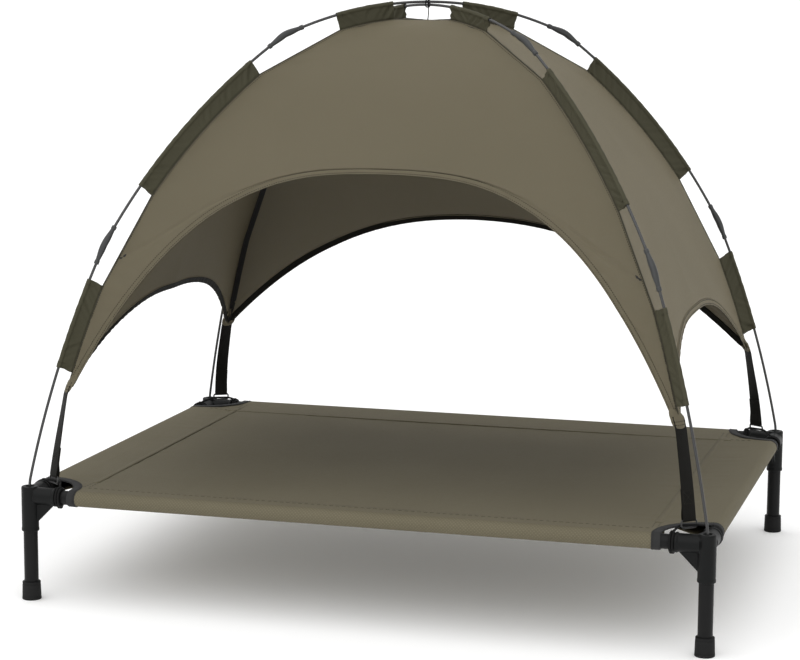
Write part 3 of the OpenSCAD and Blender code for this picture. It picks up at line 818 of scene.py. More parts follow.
@dataclass
class SeamLine:
    """The seam under a pole: parallel to it inside each sleeve, and straight from one sleeve to the next."""
    drop: float = 25.0
    tip_z: float = 372.0
    apex_z: float = 1008.0
    ease: float = 42.0

    def __post_init__(self) -> None:
        """Lists the seam from tip to apex, and a rounder copy for the cloth away from the seam."""
        runs = [POLE.at(x) - self.drop * POLE.outward(x)
                for x in (np.linspace(a, b, n) for (a, b), n in zip(SLEEVE_RUNS, (14, 26, 12)))]
        foot = runs[0][0]
        tip = [foot[0] + (foot[1] - self.tip_z) * math.tan(math.radians(POLE.lean_foot + 4)), self.tip_z]
        self.points = resampled(np.concatenate([[tip], *runs, [[0.0, self.apex_z]]]), 2.0)
        self.run = run_length(self.points)
        self.length = self.run[-1]
        n = int(3 * self.ease / (self.run[1] - self.run[0]))
        before = 2 * self.points[0] - self.points[n:0:-1]
        after = self.points[-2:-n - 2:-1] * [-1, 1]
        kernel = np.exp(-0.5 * (np.arange(-n, n + 1) / (n / 3)) ** 2)
        kernel /= kernel.sum()
        padded = np.concatenate([before, self.points, after])
        self.smooth = np.stack([np.convolve(padded[:, k], kernel, "valid") for k in (0, 1)], 1)

    def at(self, v: np.ndarray, smooth: bool = False) -> np.ndarray:
        """Points (distance, height) at shares v of the seam's length, 0 at the tip and 1 at the apex."""
        table = self.smooth if smooth else self.points
        x = np.clip(v, 0, 1) * self.length
        return np.stack([np.interp(x, self.run, table[:, k]) for k in (0, 1)], -1)

    def share_at(self, z: np.ndarray) -> np.ndarray:
        """The share of the seam's length at a height."""
        return np.interp(z, self.points[:, 1], self.run / self.length)


SEAM = SeamLine()


# --- Bed frame ------------------------------------------------------------------------
@dataclass
class SteelFrame:
    """The four rails and four legs: drawn steel tubes with rolled ends."""
    wall: float = 1.2
    roll: float = 0.5

    def tube(self, start: np.ndarray, axis: np.ndarray, length: float) -> Patch:
        """A hollow tube whose rims are rounded by a quarter circle inside and outside."""
        r, t, b = PLAN.tube_r, self.wall, self.roll
        a = np.linspace(0, np.pi / 2, 4)
        outer_rim = np.stack([r - b + b * np.sin(a), b - b * np.cos(a)], 1)
        profile = np.concatenate([[[r - t, b]], outer_rim, (outer_rim * [1, -1] + [0, length])[::-1],
                                  [[r - t, length - b], [r - t, b]]])
        return lathe(profile, start, axis, 48)

    def build(self) -> None:
        """Builds the eight tubes, each in its CAD node's place."""
        long_l, side_l = 2 * (PLAN.half_l - PLAN.rail_end), 2 * (PLAN.half_w - PLAN.rail_end)
        spans = {
            "front_rail": ([-long_l / 2, -PLAN.half_w, PLAN.rail_z], [1, 0, 0], long_l),
            "back_rail": ([-long_l / 2, PLAN.half_w, PLAN.rail_z], [1, 0, 0], long_l),
            "left_rail": ([-PLAN.half_l, -side_l / 2, PLAN.rail_z], [0, 1, 0], side_l),
            "right_rail": ([PLAN.half_l, -side_l / 2, PLAN.rail_z], [0, 1, 0], side_l)}
        for corner in Corner:
            sx, sy, _ = corner.value
            spans[f"leg_{corner.label}"] = ([sx * PLAN.half_l, sy * PLAN.half_w, PLAN.leg_z[0]], [0, 0, 1],
                                            PLAN.leg_z[1] - PLAN.leg_z[0])
        for node, (start, axis, length) in spans.items():
            tube = self.tube(np.array(start, float), np.array(axis, float), length)
            Piece(f"{node}_tube", [tube], [STEEL], "steel_tube", ROOT_BODY, (node,)).build()


@dataclass
class Foot:
    """The rubber cap on a leg: a rounded tread, a tapered skirt with two grooves and a soft top lip."""
    tread_r: float = 15.5
    base_r: float = 17.0
    top_r: float = 16.0
    height: float = 32.0
    floor: float = 4.0

    def build(self, corner: Corner) -> None:
        """Builds one foot round its leg."""
        a = np.linspace(0, np.pi / 2, 5)
        tread = np.stack([self.tread_r + 1.5 * np.sin(a), 1.5 - 1.5 * np.cos(a)], 1)
        lip = np.stack([self.top_r - 0.9 + 0.9 * np.cos(a), self.height - 0.9 + 0.9 * np.sin(a)], 1)
        grooves = [[self.base_r - d, z] for z0 in (5.6, 27.2)
                   for d, z in ((0.15, z0 - 0.8), (0.55, z0 - 0.4), (0.7, z0), (0.6, z0 + 0.5), (0.35, z0 + 0.9))]
        low, high = grooves[:5], [[r - 0.75, z] for r, z in grooves[5:]]
        inner = PLAN.tube_r + 0.05
        profile = np.concatenate([[[0, 0]], [[11.5, 0], [12.0, 0.5], [12.6, 0.5], [13.1, 0]], tread, low, high, lip,
                                  [[inner, self.height], [inner, self.floor], [0, self.floor]]])
        sx, sy, _ = corner.value
        foot = lathe(profile, np.array([sx * PLAN.half_l, sy * PLAN.half_w, 0.0]), UP, 48)
        Piece(f"foot_{corner.label}_cap", [foot], [RUBBER], "rubber_foot", ROOT_BODY,
              (f"foot_{corner.label}",), sharp_angle=30).build()


@dataclass
class Connector:
    """A moulded corner: an upright barrel, two rail sockets with end collars, and two stiffening webs.

    The solids overlap, are remeshed into one skin and smoothed, which gives the moulding its fillets.
    """
    outer_r: float = 15.5
    reach: float = 52.0
    collar: float = 4.0
    collar_rise: float = 1.4
    web: float = 6.0
    recess_r: float = 7.5
    recess: float = 3.0
    voxel: float = 0.8

    def barrel(self) -> Patch:
        """The upright barrel, with a chamfered top, the pole's recess and a stepped mouth for the leg."""
        r, low, top = self.outer_r, PLAN.corner_low, PLAN.corner_top
        profile = np.array([
            [0, low], [r - 0.9, low], [r, low + 0.9], [r, low + 5.2], [r - 0.5, low + 6.0], [r - 0.5, top - 1.6],
            [r - 1.9, top], [self.recess_r + 0.8, top], [self.recess_r, top - 0.7],
            [self.recess_r, top - self.recess], [0, top - self.recess]])
        return lathe(profile, np.zeros(3), UP, 64)

    def socket(self) -> Patch:
        """One rail socket along +x, from near the barrel's axis to its collar."""
        r, reach = self.outer_r, self.reach
        rim = r + self.collar_rise
        inner = PLAN.tube_r + 0.15
        profile = np.array([
            [0, 10.5], [r - 0.3, 10.5], [r - 0.3, reach - self.collar - 1.4], [rim, reach - self.collar],
            [rim, reach - 0.8], [rim - 0.8, reach], [inner, reach], [inner, reach - 3], [0, reach - 3]])
        return lathe(profile, np.array([0, 0, PLAN.rail_z]), np.array([1.0, 0, 0]), 64)

    def gusset(self) -> Patch:
        """The web in the corner under a socket: a plate with a straight sloping edge.

        Returns:
            A closed prism, its outline swept through the web's width.
        """
        top = PLAN.rail_z - self.outer_r + 2
        far = self.reach - 7
        outline = np.array([[6, top], [far + 2, top], [far, top - 2.5],
                            [self.outer_r - 1, top - 2.5 - (far - self.outer_r + 1)], [6, top - 34], [6, top]])
        outline = resampled(outline, 1.0)
        depth = np.linspace(-self.web / 2, self.web / 2, 7)
        points = np.stack([np.broadcast_to(outline[:, 0], (7, len(outline))),
                           np.broadcast_to(depth[:, None], (7, len(outline))),
                           np.broadcast_to(outline[:, 1], (7, len(outline)))], 2)
        return capped_grid(points)

    def moulding(self) -> tuple[np.ndarray, np.ndarray]:
        """One connector's skin, drawn with both sockets along +x and +y.

        Returns:
            Its points in millimetres and its four-sided faces.
        """
        solids = [self.barrel(), self.socket(), self.gusset()]
        solids += [self.socket().moved(SWAP_XY, np.zeros(3)), self.gusset().moved(SWAP_XY, np.zeros(3))]
        points, faces, _, _ = joined(solids)
        rows = [f.tolist() for block in faces for f in block]
        mesh = bpy.data.meshes.new("connector_blank")
        mesh.from_pydata((points * MM).tolist(), [], rows)
        work = bmesh.new()
        work.from_mesh(mesh)
        bmesh.ops.recalc_face_normals(work, faces=work.faces)
        work.to_mesh(mesh)
        work.free()
        blank = bpy.data.objects.new("connector_blank", mesh)
        bpy.context.collection.objects.link(blank)
        remesh = blank.modifiers.new("Skin", "REMESH")
        remesh.mode = "VOXEL"
        remesh.voxel_size = self.voxel * MM
        ease = blank.modifiers.new("Fillets", "SMOOTH")
        ease.factor = 0.5
        ease.iterations = 6
        shape = blank.evaluated_get(bpy.context.evaluated_depsgraph_get()).to_mesh()
        skin = np.empty(len(shape.vertices) * 3, np.float32)
        shape.vertices.foreach_get("co", skin)
        corners = np.empty(len(shape.loops), np.int32)
        shape.loops.foreach_get("vertex_index", corners)
        result = skin.reshape(-1, 3).astype(float) / MM, corners.reshape(-1, 4)
        bpy.data.objects.remove(blank)
        return result

    def build(self) -> None:
        """Builds the four connectors from one skin, mirrored to each corner."""
        skin, quads = self.moulding()
        patch = Patch(skin, [quads], skin[:, :2].copy())
        for corner in Corner:
            Piece(f"corner_{corner.label}_moulding", [patch.moved(*PLAN.corner_frame(corner))], [NYLON],
                  "connector", ROOT_BODY, (f"corner_{corner.label}",), sharp_angle=60).build()


# --- Deck --------------------------------------------------------------------------------
@dataclass
class Deck:
    """The stretched deck: one cloth with a pocket round each rail and a round cut-out at each leg."""
    thickness: float = 1.2
    cutout: float = 77.0
    cell: float = 5.0
    dip: float = 4.5
    side_seam: float = 88.0
    back_seam: float = 95.0
    front_seam: float = 26.0
    twin_row: float = 9.0

    def __post_init__(self) -> None:
        """The pocket's outer radius, from the deck's top and the rail's axis."""
        self.pocket_r = PLAN.deck_top - PLAN.rail_z

    def height(self, x: np.ndarray, y: np.ndarray) -> np.ndarray:
        """The top's height: a shallow dip, with small creases square to the side seams that fade inboard.

        Args:
            x: distances along the bed.
            y: distances across it.
        Returns:
            Heights in millimetres, at most the deck's top.
        """
        fx, fy = np.abs(x) / PLAN.half_l, np.abs(y) / PLAN.half_w
        dip = self.dip * (1 - np.clip(fx, 0, 1) ** 2.5) * (1 - np.clip(fy, 0, 1) ** 2.5)
        from_side = PLAN.half_l - np.abs(x)
        from_end = PLAN.half_w - np.abs(y)
        near = step(from_side, 14, 45) * (1 - step(from_side, 100, 190)) * step(from_end, 20, 70)
        gathers = ripple(y + 9 * ripple(x, 150, 8), 46, 3) * (0.5 + 0.5 * ripple(y, 170, 9))
        crease = near * 0.75 * (1 + gathers)
        near_end = step(from_end, 14, 40) * (1 - step(from_end, 90, 180)) * step(from_side, 20, 70)
        crease += near_end * 0.3 * (1 + ripple(x, 60, 5))
        crease -= 0.45 * np.exp(-((from_side - 38) / 6) ** 2) * step(from_end, 20, 70)
        valley = 0.1 * np.exp(-((from_side - self.side_seam) / 3.0) ** 2) * step(from_end, 10, 40)
        valley += 0.1 * np.exp(-((from_side - self.side_seam - self.twin_row) / 3.0) ** 2) * step(from_end, 10, 40)
        seam = np.where(y > 0, self.back_seam, self.front_seam)
        valley += 0.1 * np.exp(-((from_end - seam) / 3.0) ** 2) * step(from_side, 10, 40)
        inside = step(from_side, 0, 12) * step(from_end, 0, 12)
        return PLAN.deck_top - inside * (dip + crease + valley)

    def lines(self, half: float) -> np.ndarray:
        """Grid lines from -half to half, fine in the two cut-out squares and evenly spaced between them."""
        inner = half - self.cutout
        edge = np.linspace(inner, half, 17)
        middle = np.linspace(-inner, inner, int(2 * inner / self.cell) + 1)
        return np.concatenate([-edge[:0:-1], middle, edge[1:]])

    def top(self) -> list[Patch]:
        """The flat of the deck: a grid without its corner squares, and a bent grid in each square.

        Returns:
            Patches that weld along their shared lines.
        """
        xs, ys = self.lines(PLAN.half_l), self.lines(PLAN.half_w)
        x, y = np.meshgrid(xs, ys, indexing="ij")
        flat = grid(np.stack([x, y, self.height(x, y)], 2), np.stack([x, y], 2))
        face = flat.faces[0]
        middle = flat.points[face].mean(axis=1)
        corner = (np.abs(middle[:, 0]) > PLAN.half_l - self.cutout) \
            & (np.abs(middle[:, 1]) > PLAN.half_w - self.cutout)
        flat.faces = [face[~corner]]
        patches = [flat]
        side = np.linspace(self.cutout, 0, 17)
        legs = np.concatenate([np.stack([np.full(17, self.cutout), side[::-1]], 1),
                               np.stack([side, np.full(17, self.cutout)], 1)[1:]])
        angle = np.linspace(0, np.pi / 2, len(legs))
        arc = self.cutout * np.stack([np.cos(angle), np.sin(angle)], 1)
        t = np.linspace(0, 1, 13)[:, None, None]
        local = legs[None] * (1 - t) + arc[None] * t
        for c in Corner:
            sx, sy, _ = c.value
            px = sx * (PLAN.half_l - local[..., 0])
            py = sy * (PLAN.half_w - local[..., 1])
            patches.append(grid(np.stack([px, py, self.height(px, py)], 2), np.stack([px, py], 2)))
        return patches

    def wrap(self, seam: float) -> np.ndarray:
        """A pocket's profile past the rail's top: round the rail, then straight back up to its seam.

        Args:
            seam: the distance from the rail's axis to the pocket's seam.
        Returns:
            Rows of (distance outboard of the rail's axis, height).
        """
        r = self.pocket_r
        rise = r - 2.3
        reach = math.hypot(seam, rise)
        slope = math.atan2(rise, seam) + math.asin(r / reach)
        around = np.linspace(0, math.pi + slope, 30)
        arc = np.stack([r * np.sin(around), PLAN.rail_z + r * np.cos(around)], 1)
        end = np.array([-seam, PLAN.rail_z + rise])
        flap = arc[-1] + (end - arc[-1]) * np.linspace(0, 1, 9)[1:, None]
        tail = end + np.array([[-4.0, 0.1], [-10.0, 0.1]])
        return np.concatenate([arc, flap, tail])

    def pocket(self, along_x: bool, sign: int, seam: float) -> Patch:
        """One pocket: its profile on every grid line that crosses it, cut to the round cut-outs at both ends.

        Args:
            along_x: whether the rail runs along x.
            sign: which of the two rails.
            seam: the distance from the rail's axis to the seam.
        Returns:
            The patch.
        """
        half_run, half_off = (PLAN.half_l, PLAN.half_w) if along_x else (PLAN.half_w, PLAN.half_l)
        lines = self.lines(half_run)
        lines = lines[np.abs(lines) <= half_run - self.cutout + 1e-6]
        profile = self.wrap(seam)
        off = np.clip(np.abs(profile[:, 0]), 0, self.cutout)
        limit = half_run - np.sqrt(self.cutout ** 2 - off ** 2)
        limit = np.minimum(limit, half_run - self.cutout + 3)
        run = lines[None] * (limit / (half_run - self.cutout))[:, None]
        out = np.broadcast_to(sign * (half_off + profile[:, :1]), run.shape)
        z = np.broadcast_to(profile[:, 1:2], run.shape)
        cloth_off = np.broadcast_to(sign * (half_off + run_length(profile))[:, None], run.shape)
        points = np.stack([run, out, z] if along_x else [out, run, z], 2)
        cloth = np.stack([run, cloth_off] if along_x else [cloth_off, run], 2)
        return grid(points, cloth)

    def seam_rows(self) -> list[Patch]:
        """The stitching: two rows along each side pocket and one along the front and back pockets."""
        rows = []
        reach_y, reach_x = PLAN.half_w - 34, PLAN.half_l - 34
        for sign in (-1, 1):
            for inset in (self.side_seam, self.side_seam + self.twin_row):
                y = np.linspace(-reach_y, reach_y, 300)
                rows.append((np.full(300, sign * (PLAN.half_l - inset)), y))
            inset = self.back_seam if sign > 0 else self.front_seam
            limit = reach_x if sign > 0 else PLAN.half_l - self.cutout - 20
            x = np.linspace(-limit, limit, 400)
            rows.append((x, np.full(400, sign * (PLAN.half_w - inset))))
        return [stitches(np.stack([x, y, self.height(x, y) + 0.15], 1), UP, 11.0) for x, y in rows]

    def build(self) -> None:
        patches = self.top()
        patches += [self.pocket(True, -1, self.front_seam), self.pocket(True, 1, self.back_seam)]
        patches += [self.pocket(False, s, self.side_seam) for s in (-1, 1)]
        cloth = Piece("deck_sheet", patches, [DECK], "deck_fabric", ROOT_BODY, ("bed_sheet",), Wall.CLOTH,
                      self.thickness, sharp_angle=80).build()
        self.point_up(cloth)
        thread = Piece("deck_stitching", self.seam_rows(), [THREAD], "deck_fabric", ROOT_BODY).build()

    def point_up(self, cloth: bpy.types.Object) -> None:
        """Turns the cloth's faces so that its top faces up, found from the face nearest the centre."""
        mesh = cloth.data
        centre = np.empty(len(mesh.polygons) * 3, np.float32)
        mesh.polygons.foreach_get("center", centre)
        middle = int(np.argmin(np.linalg.norm(centre.reshape(-1, 3)[:, :2], axis=1)))
        if mesh.polygons[middle].normal.z < 0:
            mesh.flip_normals()


@dataclass
class Binding:
    """The black tape round a cut-out: folded over the cloth's edge, from one pocket's end to the other's."""
    width: float = 14.0
    tape: float = 0.9
    cutout: float = 77.0

    def build(self, corner: Corner) -> None:
        """Builds one tape: a U-shaped profile carried round a rail, along the cut-out and round the other rail.

        At each place the profile's x runs from the cloth's edge into the cloth, and its y stands off the cloth.
        """
        r = PLAN.deck_top - PLAN.rail_z
        t, c, w = self.tape, Deck.thickness, self.width
        nose = np.linspace(np.pi / 2, 3 * np.pi / 2, 9)
        mid, half = -c / 2, c / 2 + t
        fold = np.stack([-0.3 + 0.9 * np.cos(nose), mid + half * np.sin(nose)], 1)
        section = np.concatenate([[[w, 0.02], [w, t * 0.7], [w - 0.6, t], [w * 0.5, t * 1.02]], fold,
                                  [[w * 0.5, -c - t], [w - 0.6, -c - t], [w, -c - 0.7 * t], [w, -c - 0.02],
                                   [1.0, -c + 0.1], [1.0, -0.1], [w, 0.02]]])
        around = np.linspace(math.radians(196), 0, 28)
        first = self.round_rail(around, r, section)
        along = np.linspace(0, np.pi / 2, 40)[1:-1]
        inset = self.cutout + section[:, 0]
        rise = PLAN.deck_top + section[:, 1]
        arc = np.stack([inset[None] * np.cos(along)[:, None], inset[None] * np.sin(along)[:, None],
                        np.broadcast_to(rise, (len(along), len(section)))], 2)
        last = (first @ SWAP_XY)[::-1]
        points = np.concatenate([first, arc, last])
        wave = 0.25 * ripple(run_length(points[:, 2]), 17, 11 + list(Corner).index(corner))
        points[..., 2] += np.where(points[..., 2] > PLAN.deck_top - 0.2, wave[:, None], 0)
        tape = capped_grid(points)
        inner = points[:, 2] + 0.05 * UP
        pull = unit(points[:, 2] - points[:, -2])
        sewn = stitches(inner - 0.12 * (points[:, 2] - points[:, 6]), pull, 4.0, 1)
        frame_of = PLAN.corner_frame(corner)
        Piece(f"corner_binding_{corner.label}_tape", [tape.moved(*frame_of), sewn.moved(*frame_of)],
              [BINDING, DARK_THREAD], "binding_tape", ROOT_BODY, (f"corner_binding_{corner.label}",),
              sharp_angle=50).build()

    def round_rail(self, around: np.ndarray, r: float, section: np.ndarray) -> np.ndarray:
        """The tape's rings round the rail along +x: the edge lies where the pocket meets the cut-out's cylinder.

        Args:
            around: the angle from the rail's top, outboard.
            r: the pocket's outer radius.
            section: the profile.
        Returns:
            Rings of points, one for each angle.
        """
        radius = r + section[:, 1]
        out = radius[None] * np.sin(around)[:, None]
        edge = np.sqrt(self.cutout ** 2 - np.clip(out, -r - 2, r + 2) ** 2)
        x = edge + section[:, 0][None]
        return np.stack([x, -out, PLAN.rail_z + radius[None] * np.cos(around)[:, None]], 2)


# --- Straps, rings and ties -------------------------------------------------------------------
@dataclass
class CanopyTip:
    """The rounded end at each corner of the canopy: a folded pad that both hems and the strap are sewn into."""
    half_width: float = 15.0
    thick: float = 2.9
    low: float = 365.0
    high: float = 403.0

    def middle(self, z: np.ndarray) -> np.ndarray:
        """The pad's middle line: (distance from centre, height) at heights."""
        s = np.interp(z, [364, 374, 386, 403], [676.2, 672.7, 667.0, 658.5])
        return np.stack([s, z], -1)

    def side_piece(self, rise: np.ndarray, around: np.ndarray) -> tuple[np.ndarray, np.ndarray, np.ndarray]:
        """The pad's surface: an oblong ring at each height, bent back at its sides and closed below in a round.

        Args:
            rise: shares of the pad's height.
            around: angles round the ring.
        Returns:
            Distances from the centre, heights, and distances to the side.
        """
        z = self.low + (self.high - self.low) * rise
        close = np.sqrt(1 - (1 - np.clip(rise / 0.3, 0, 1)) ** 2)
        top = 1 - 0.9 * step(rise, 0.7, 1.0)
        c, d = np.cos(around), np.sin(around)
        wide = self.half_width * (0.25 + 0.75 * close) * (1 - 0.5 * step(rise, 0.4, 0.95))
        w = wide * np.sign(c) * np.abs(c) ** 0.6
        deep = self.thick * (0.35 + 0.65 * close) * top * np.sign(d) * np.abs(d) ** 0.7
        hem = 0.45 * np.exp(-((rise - 0.3) / 0.06) ** 2) + 0.35 * np.exp(-((rise - 0.16) / 0.05) ** 2)
        deep = deep - hem * np.sign(d) * (np.abs(d) > 0.2)
        bend = (0.012 + 0.078 * step(rise, 0.4, 1.0)) * w ** 2
        s = self.middle(z)[..., 0] + deep - bend
        s = s + 0.35 * ripple(w + 30 * rise, 11, 91) * (d > 0)
        return s, z, w

    def build(self, corner: Corner) -> None:
        """Builds one pad and its two rows of stitching."""
        rise, around = np.meshgrid(np.linspace(0, 1, 34), np.linspace(0, 2 * np.pi, 49), indexing="ij")
        points = PLAN.at_diagonal(corner, *self.side_piece(rise, around))
        pad = capped_grid(points)
        outward = PLAN.outwards(corner)
        rows = []
        for level in (0.16, 0.3):
            a = np.linspace(0.12, np.pi - 0.12, 60)
            line = PLAN.at_diagonal(corner, *self.side_piece(np.full_like(a, level), a))
            rows.append(stitches(line + 0.15 * outward, outward, 3.6, 1))
        Piece(f"canopy_tip_{corner.label}_pad", [pad, *rows], [CANOPY_CLOTH, THREAD], "canopy_fabric",
              CANOPY_BODY, sharp_angle=60).build()


TIP = CanopyTip()


@dataclass
class StrapSet:
    """At each corner a webbing strap from the canopy's tip to a wire ring, which an elastic cord holds down."""
    width: float = 25.0
    thick: float = 1.5
    wire: float = 3.2
    pitch: float = 12.0
    lean: float = 9.8
    ring_in: float = 44.0
    ring_up: float = 14.5
    cord: float = 4.5
    tie_at: float = 55.0
    gap: float = 0.35

    def twist(self, corner: Corner) -> float:
        """How far a strap is turned at its lower end, in degrees."""
        return {"front_left": 14.0, "front_right": -9.0, "rear_left": -22.0, "rear_right": 22.0}[corner.label]

    def bar(self) -> np.ndarray:
        """The ring's upper bar: (distance from centre, height)."""
        return np.array([PLAN.half_diag - self.ring_in, PLAN.corner_top + self.ring_up])

    def leaning(self, corner: Corner) -> tuple[np.ndarray, np.ndarray]:
        """The directions up along a corner's strap and outwards from its face."""
        lean = math.radians(self.lean)
        up = PLAN.at_diagonal(corner, np.array(-math.sin(lean)), np.array(math.cos(lean)))
        out = PLAN.at_diagonal(corner, np.array(math.cos(lean)), np.array(math.sin(lean)))
        return up, out

    def untwisting(self, points: np.ndarray) -> np.ndarray:
        """The share of the twist left at each point: 1 at the ring, 0 at the canopy's tip."""
        return 1 - step(points[:, 2], PLAN.corner_top + 20, 372)

    def turned(self, corner: Corner, points: np.ndarray, share: np.ndarray | float) -> np.ndarray:
        """Turns points about the strap's upright middle line by a share of the corner's twist."""
        a = np.radians(self.twist(corner)) * np.asarray(share)
        middle = self.bar()[0] * PLAN.outwards(corner)
        flat = points - middle
        c, s = np.cos(a), np.sin(a)
        x = flat[..., 0] * c - flat[..., 1] * s
        y = flat[..., 0] * s + flat[..., 1] * c
        return np.stack([x, y, flat[..., 2]], -1) + middle * [1, 1, 0]

    def strap_path(self) -> np.ndarray:
        """The webbing's middle line in the diagonal plane: from inside the tip down, round the bar and up again."""
        bar = self.bar()
        lean = math.radians(self.lean)
        up = np.array([-math.sin(lean), math.cos(lean)])
        out = np.array([math.cos(lean), math.sin(lean)])
        off = self.wire / 2 + 0.2 + self.thick / 2
        inside = TIP.middle(np.array([384.0, 379.0, 373.0]))
        down = [bar + out * off + up * h for h in (146, 130, 100, 75, 50, 25, 10, 0)]
        round_bar = [bar + off * (math.cos(a) * out - math.sin(a) * up) for a in np.radians([45, 90, 135])]
        back = [bar - out * off, bar - out * (off - 0.2) + up * 10, bar + out * (off - self.thick - 0.15) + up * 24,
                bar + out * (off - self.thick - 0.1) + up * 52]
        return rounded(np.array([*inside, *down, *round_bar, *back]), 1.5, 3)

    def build_strap(self, corner: Corner) -> None:
        """Builds one strap with its sewn box, and its rounded end loop round the ring's bar."""
        line = self.strap_path()
        path = PLAN.at_diagonal(corner, line[:, 0], line[:, 1])
        sideways = PLAN.sideways(corner)
        tangent = unit(np.gradient(path, axis=0))
        facing = np.cross(sideways, tangent)
        section = oblong_section(self.width, self.thick, 0.6, 3)
        band = sweep(path, section, facing)
        band.points = self.turned(corner, band.points, self.untwisting(band.points))
        bar = self.bar()
        up, out = self.leaning(corner)
        face = PLAN.at_diagonal(corner, bar[0], bar[1]) + out * (self.wire / 2 + 0.25 + self.thick)
        box = np.array([[-9.5, 27], [9.5, 27], [9.5, 48], [-9.5, 48], [-9.5, 27], [9.5, 48]])
        cross = np.array([[9.5, 27], [-9.5, 48]])
        rows = []
        for outline in (box, cross):
            line3 = face + outline[:, :1] * sideways + outline[:, 1:] * up
            sewn = stitches(resampled(line3, 1.0), out, 2.8, 1)
            sewn.points = self.turned(corner, sewn.points, self.untwisting(sewn.points))
            rows.append(sewn)
        Piece(f"strap_{corner.label}_webbing", [band, *rows], [WEBBING, DARK_THREAD], "webbing", CANOPY_BODY,
              (f"strap_{corner.label}",), sharp_angle=45).build()

    def ring(self, corner: Corner) -> Patch:
        """A rounded rectangular wire ring, hanging from the strap's loop."""
        half_w, half_h = self.width / 2 + 1 + self.wire / 2, self.pitch / 2
        loop = oblong_section(2 * half_w, 2 * half_h, 4.0, 6)
        bar = self.bar()
        up, out = self.leaning(corner)
        centre = PLAN.at_diagonal(corner, bar[0], bar[1]) - up * half_h
        path = centre + loop[:, :1] * PLAN.sideways(corner) + loop[:, 1:] * up
        keep = np.concatenate([[True], np.linalg.norm(np.diff(path, axis=0), axis=1) > 1e-6])
        path = resampled(path[keep], 1.2)
        path = self.turned(corner, path, 1.0)
        out = self.turned(corner, out + self.bar()[0] * PLAN.outwards(corner) * [1, 1, 0], 1.0) \
            - self.bar()[0] * PLAN.outwards(corner)
        return sweep(path, round_section(self.wire / 2, 12), out, closed=True)

    def turns(self) -> list[Patch]:
        """Two turns of cord round a rail along +x, as a short helix, and the cord lock under them.

        Returns:
            The cord, the lock's body and the lock's button.
        """
        r = PLAN.tube_r + self.cord / 2 + self.gap
        a = np.linspace(-0.5 * np.pi, 3.5 * np.pi, 110)
        pitch = self.cord + 0.2
        x = self.tie_at + pitch * step(a, 0.9 * np.pi, 2.1 * np.pi)
        path = np.stack([x, r * np.sin(a + np.pi), PLAN.rail_z + r * np.cos(a + np.pi)], 1)
        cord = sweep(path, round_section(self.cord / 2, 12), np.array([1.0, 0, 0]))
        middle = self.tie_at + pitch / 2
        low = PLAN.rail_z - r - 1.0
        base = np.stack([np.full(9, middle), np.linspace(-4.5, 4.5, 9), np.full(9, low)], 1)
        swell = 1 - 0.35 * np.abs(np.linspace(-1, 1, 9)) ** 3
        lock = sweep(base, oblong_section(pitch + self.cord, 7.0, 2.2, 4), UP, swell, slot=1)
        stem = np.array([[0, 0], [2.2, 0], [2.6, 0.5], [2.6, 3.2], [1.9, 3.9], [0, 3.9]])
        button = lathe(stem, np.array([middle, 3.4, low]), np.array([0, 1.0, 0]), 16, 1)
        return [cord, lock, button]

    def knot(self, at: np.ndarray) -> Patch:
        """A small overhand knot: a trefoil path, (2 + cos 3t) round and sin 3t high, drawn tight."""
        t = np.linspace(0, 2 * np.pi, 60)
        path = np.stack([(2 + np.cos(3 * t)) * np.cos(2 * t), (2 + np.cos(3 * t)) * np.sin(2 * t),
                         np.sin(3 * t) * 1.3], 1) * 0.62
        return sweep(path + at, round_section(1.45, 10), np.array([0.2, 0.3, 1.0]), closed=True)

    def build_tie(self, corner: Corner) -> None:
        """Builds one tie: turns round both rails, two knots, and the cord that runs through the ring."""
        frame_of = PLAN.corner_frame(corner)
        turn = self.turns()
        r = PLAN.tube_r + self.cord / 2 + self.gap
        knot_at = self.tie_at + (self.cord + 0.2) / 2
        low_bar = self.bar()[1] - self.pitch + self.wire / 2 + self.cord / 2 + 0.3
        along, side = np.array([PLAN.ux, PLAN.uy]), np.array([-PLAN.uy, PLAN.ux])
        p1, p2 = (self.ring_in + 7) * along - 13 * side, (self.ring_in - 9) * along + 13 * side
        mid = (self.ring_in - 1) * along
        route = np.array([
            [knot_at, 0, PLAN.rail_z + r], [knot_at - 2, 4, PLAN.rail_z + r + 2.6], [*p1, low_bar],
            [*mid, low_bar], [*p2, low_bar], [4, knot_at - 2, PLAN.rail_z + r + 2.6], [0, knot_at, PLAN.rail_z + r]])
        strand = sweep(rounded(route, 1.5, 10), round_section(self.cord / 2 * 0.9, 12), UP)
        tops = [np.array([knot_at, 0, PLAN.rail_z + r + 1.6]), np.array([0, knot_at, PLAN.rail_z + r + 1.6])]
        parts = turn + [p.moved(SWAP_XY, np.zeros(3)) for p in turn] + [strand] + [self.knot(p) for p in tops]
        Piece(f"tie_cord_{corner.label}_elastic", [p.moved(*frame_of) for p in parts], [ELASTIC, NYLON],
              "tie_cord", ROOT_BODY, (f"tie_cord_{corner.label}",)).build()

    def build(self) -> None:
        """Builds every strap, ring and tie."""
        for corner in Corner:
            TIP.build(corner)
            self.build_strap(corner)
            self.build_tie(corner)
        Piece("strap_rings_wire", [self.ring(c) for c in Corner], [BUCKLE], "buckle", ROOT_BODY,
              ("strap_rings",)).build()


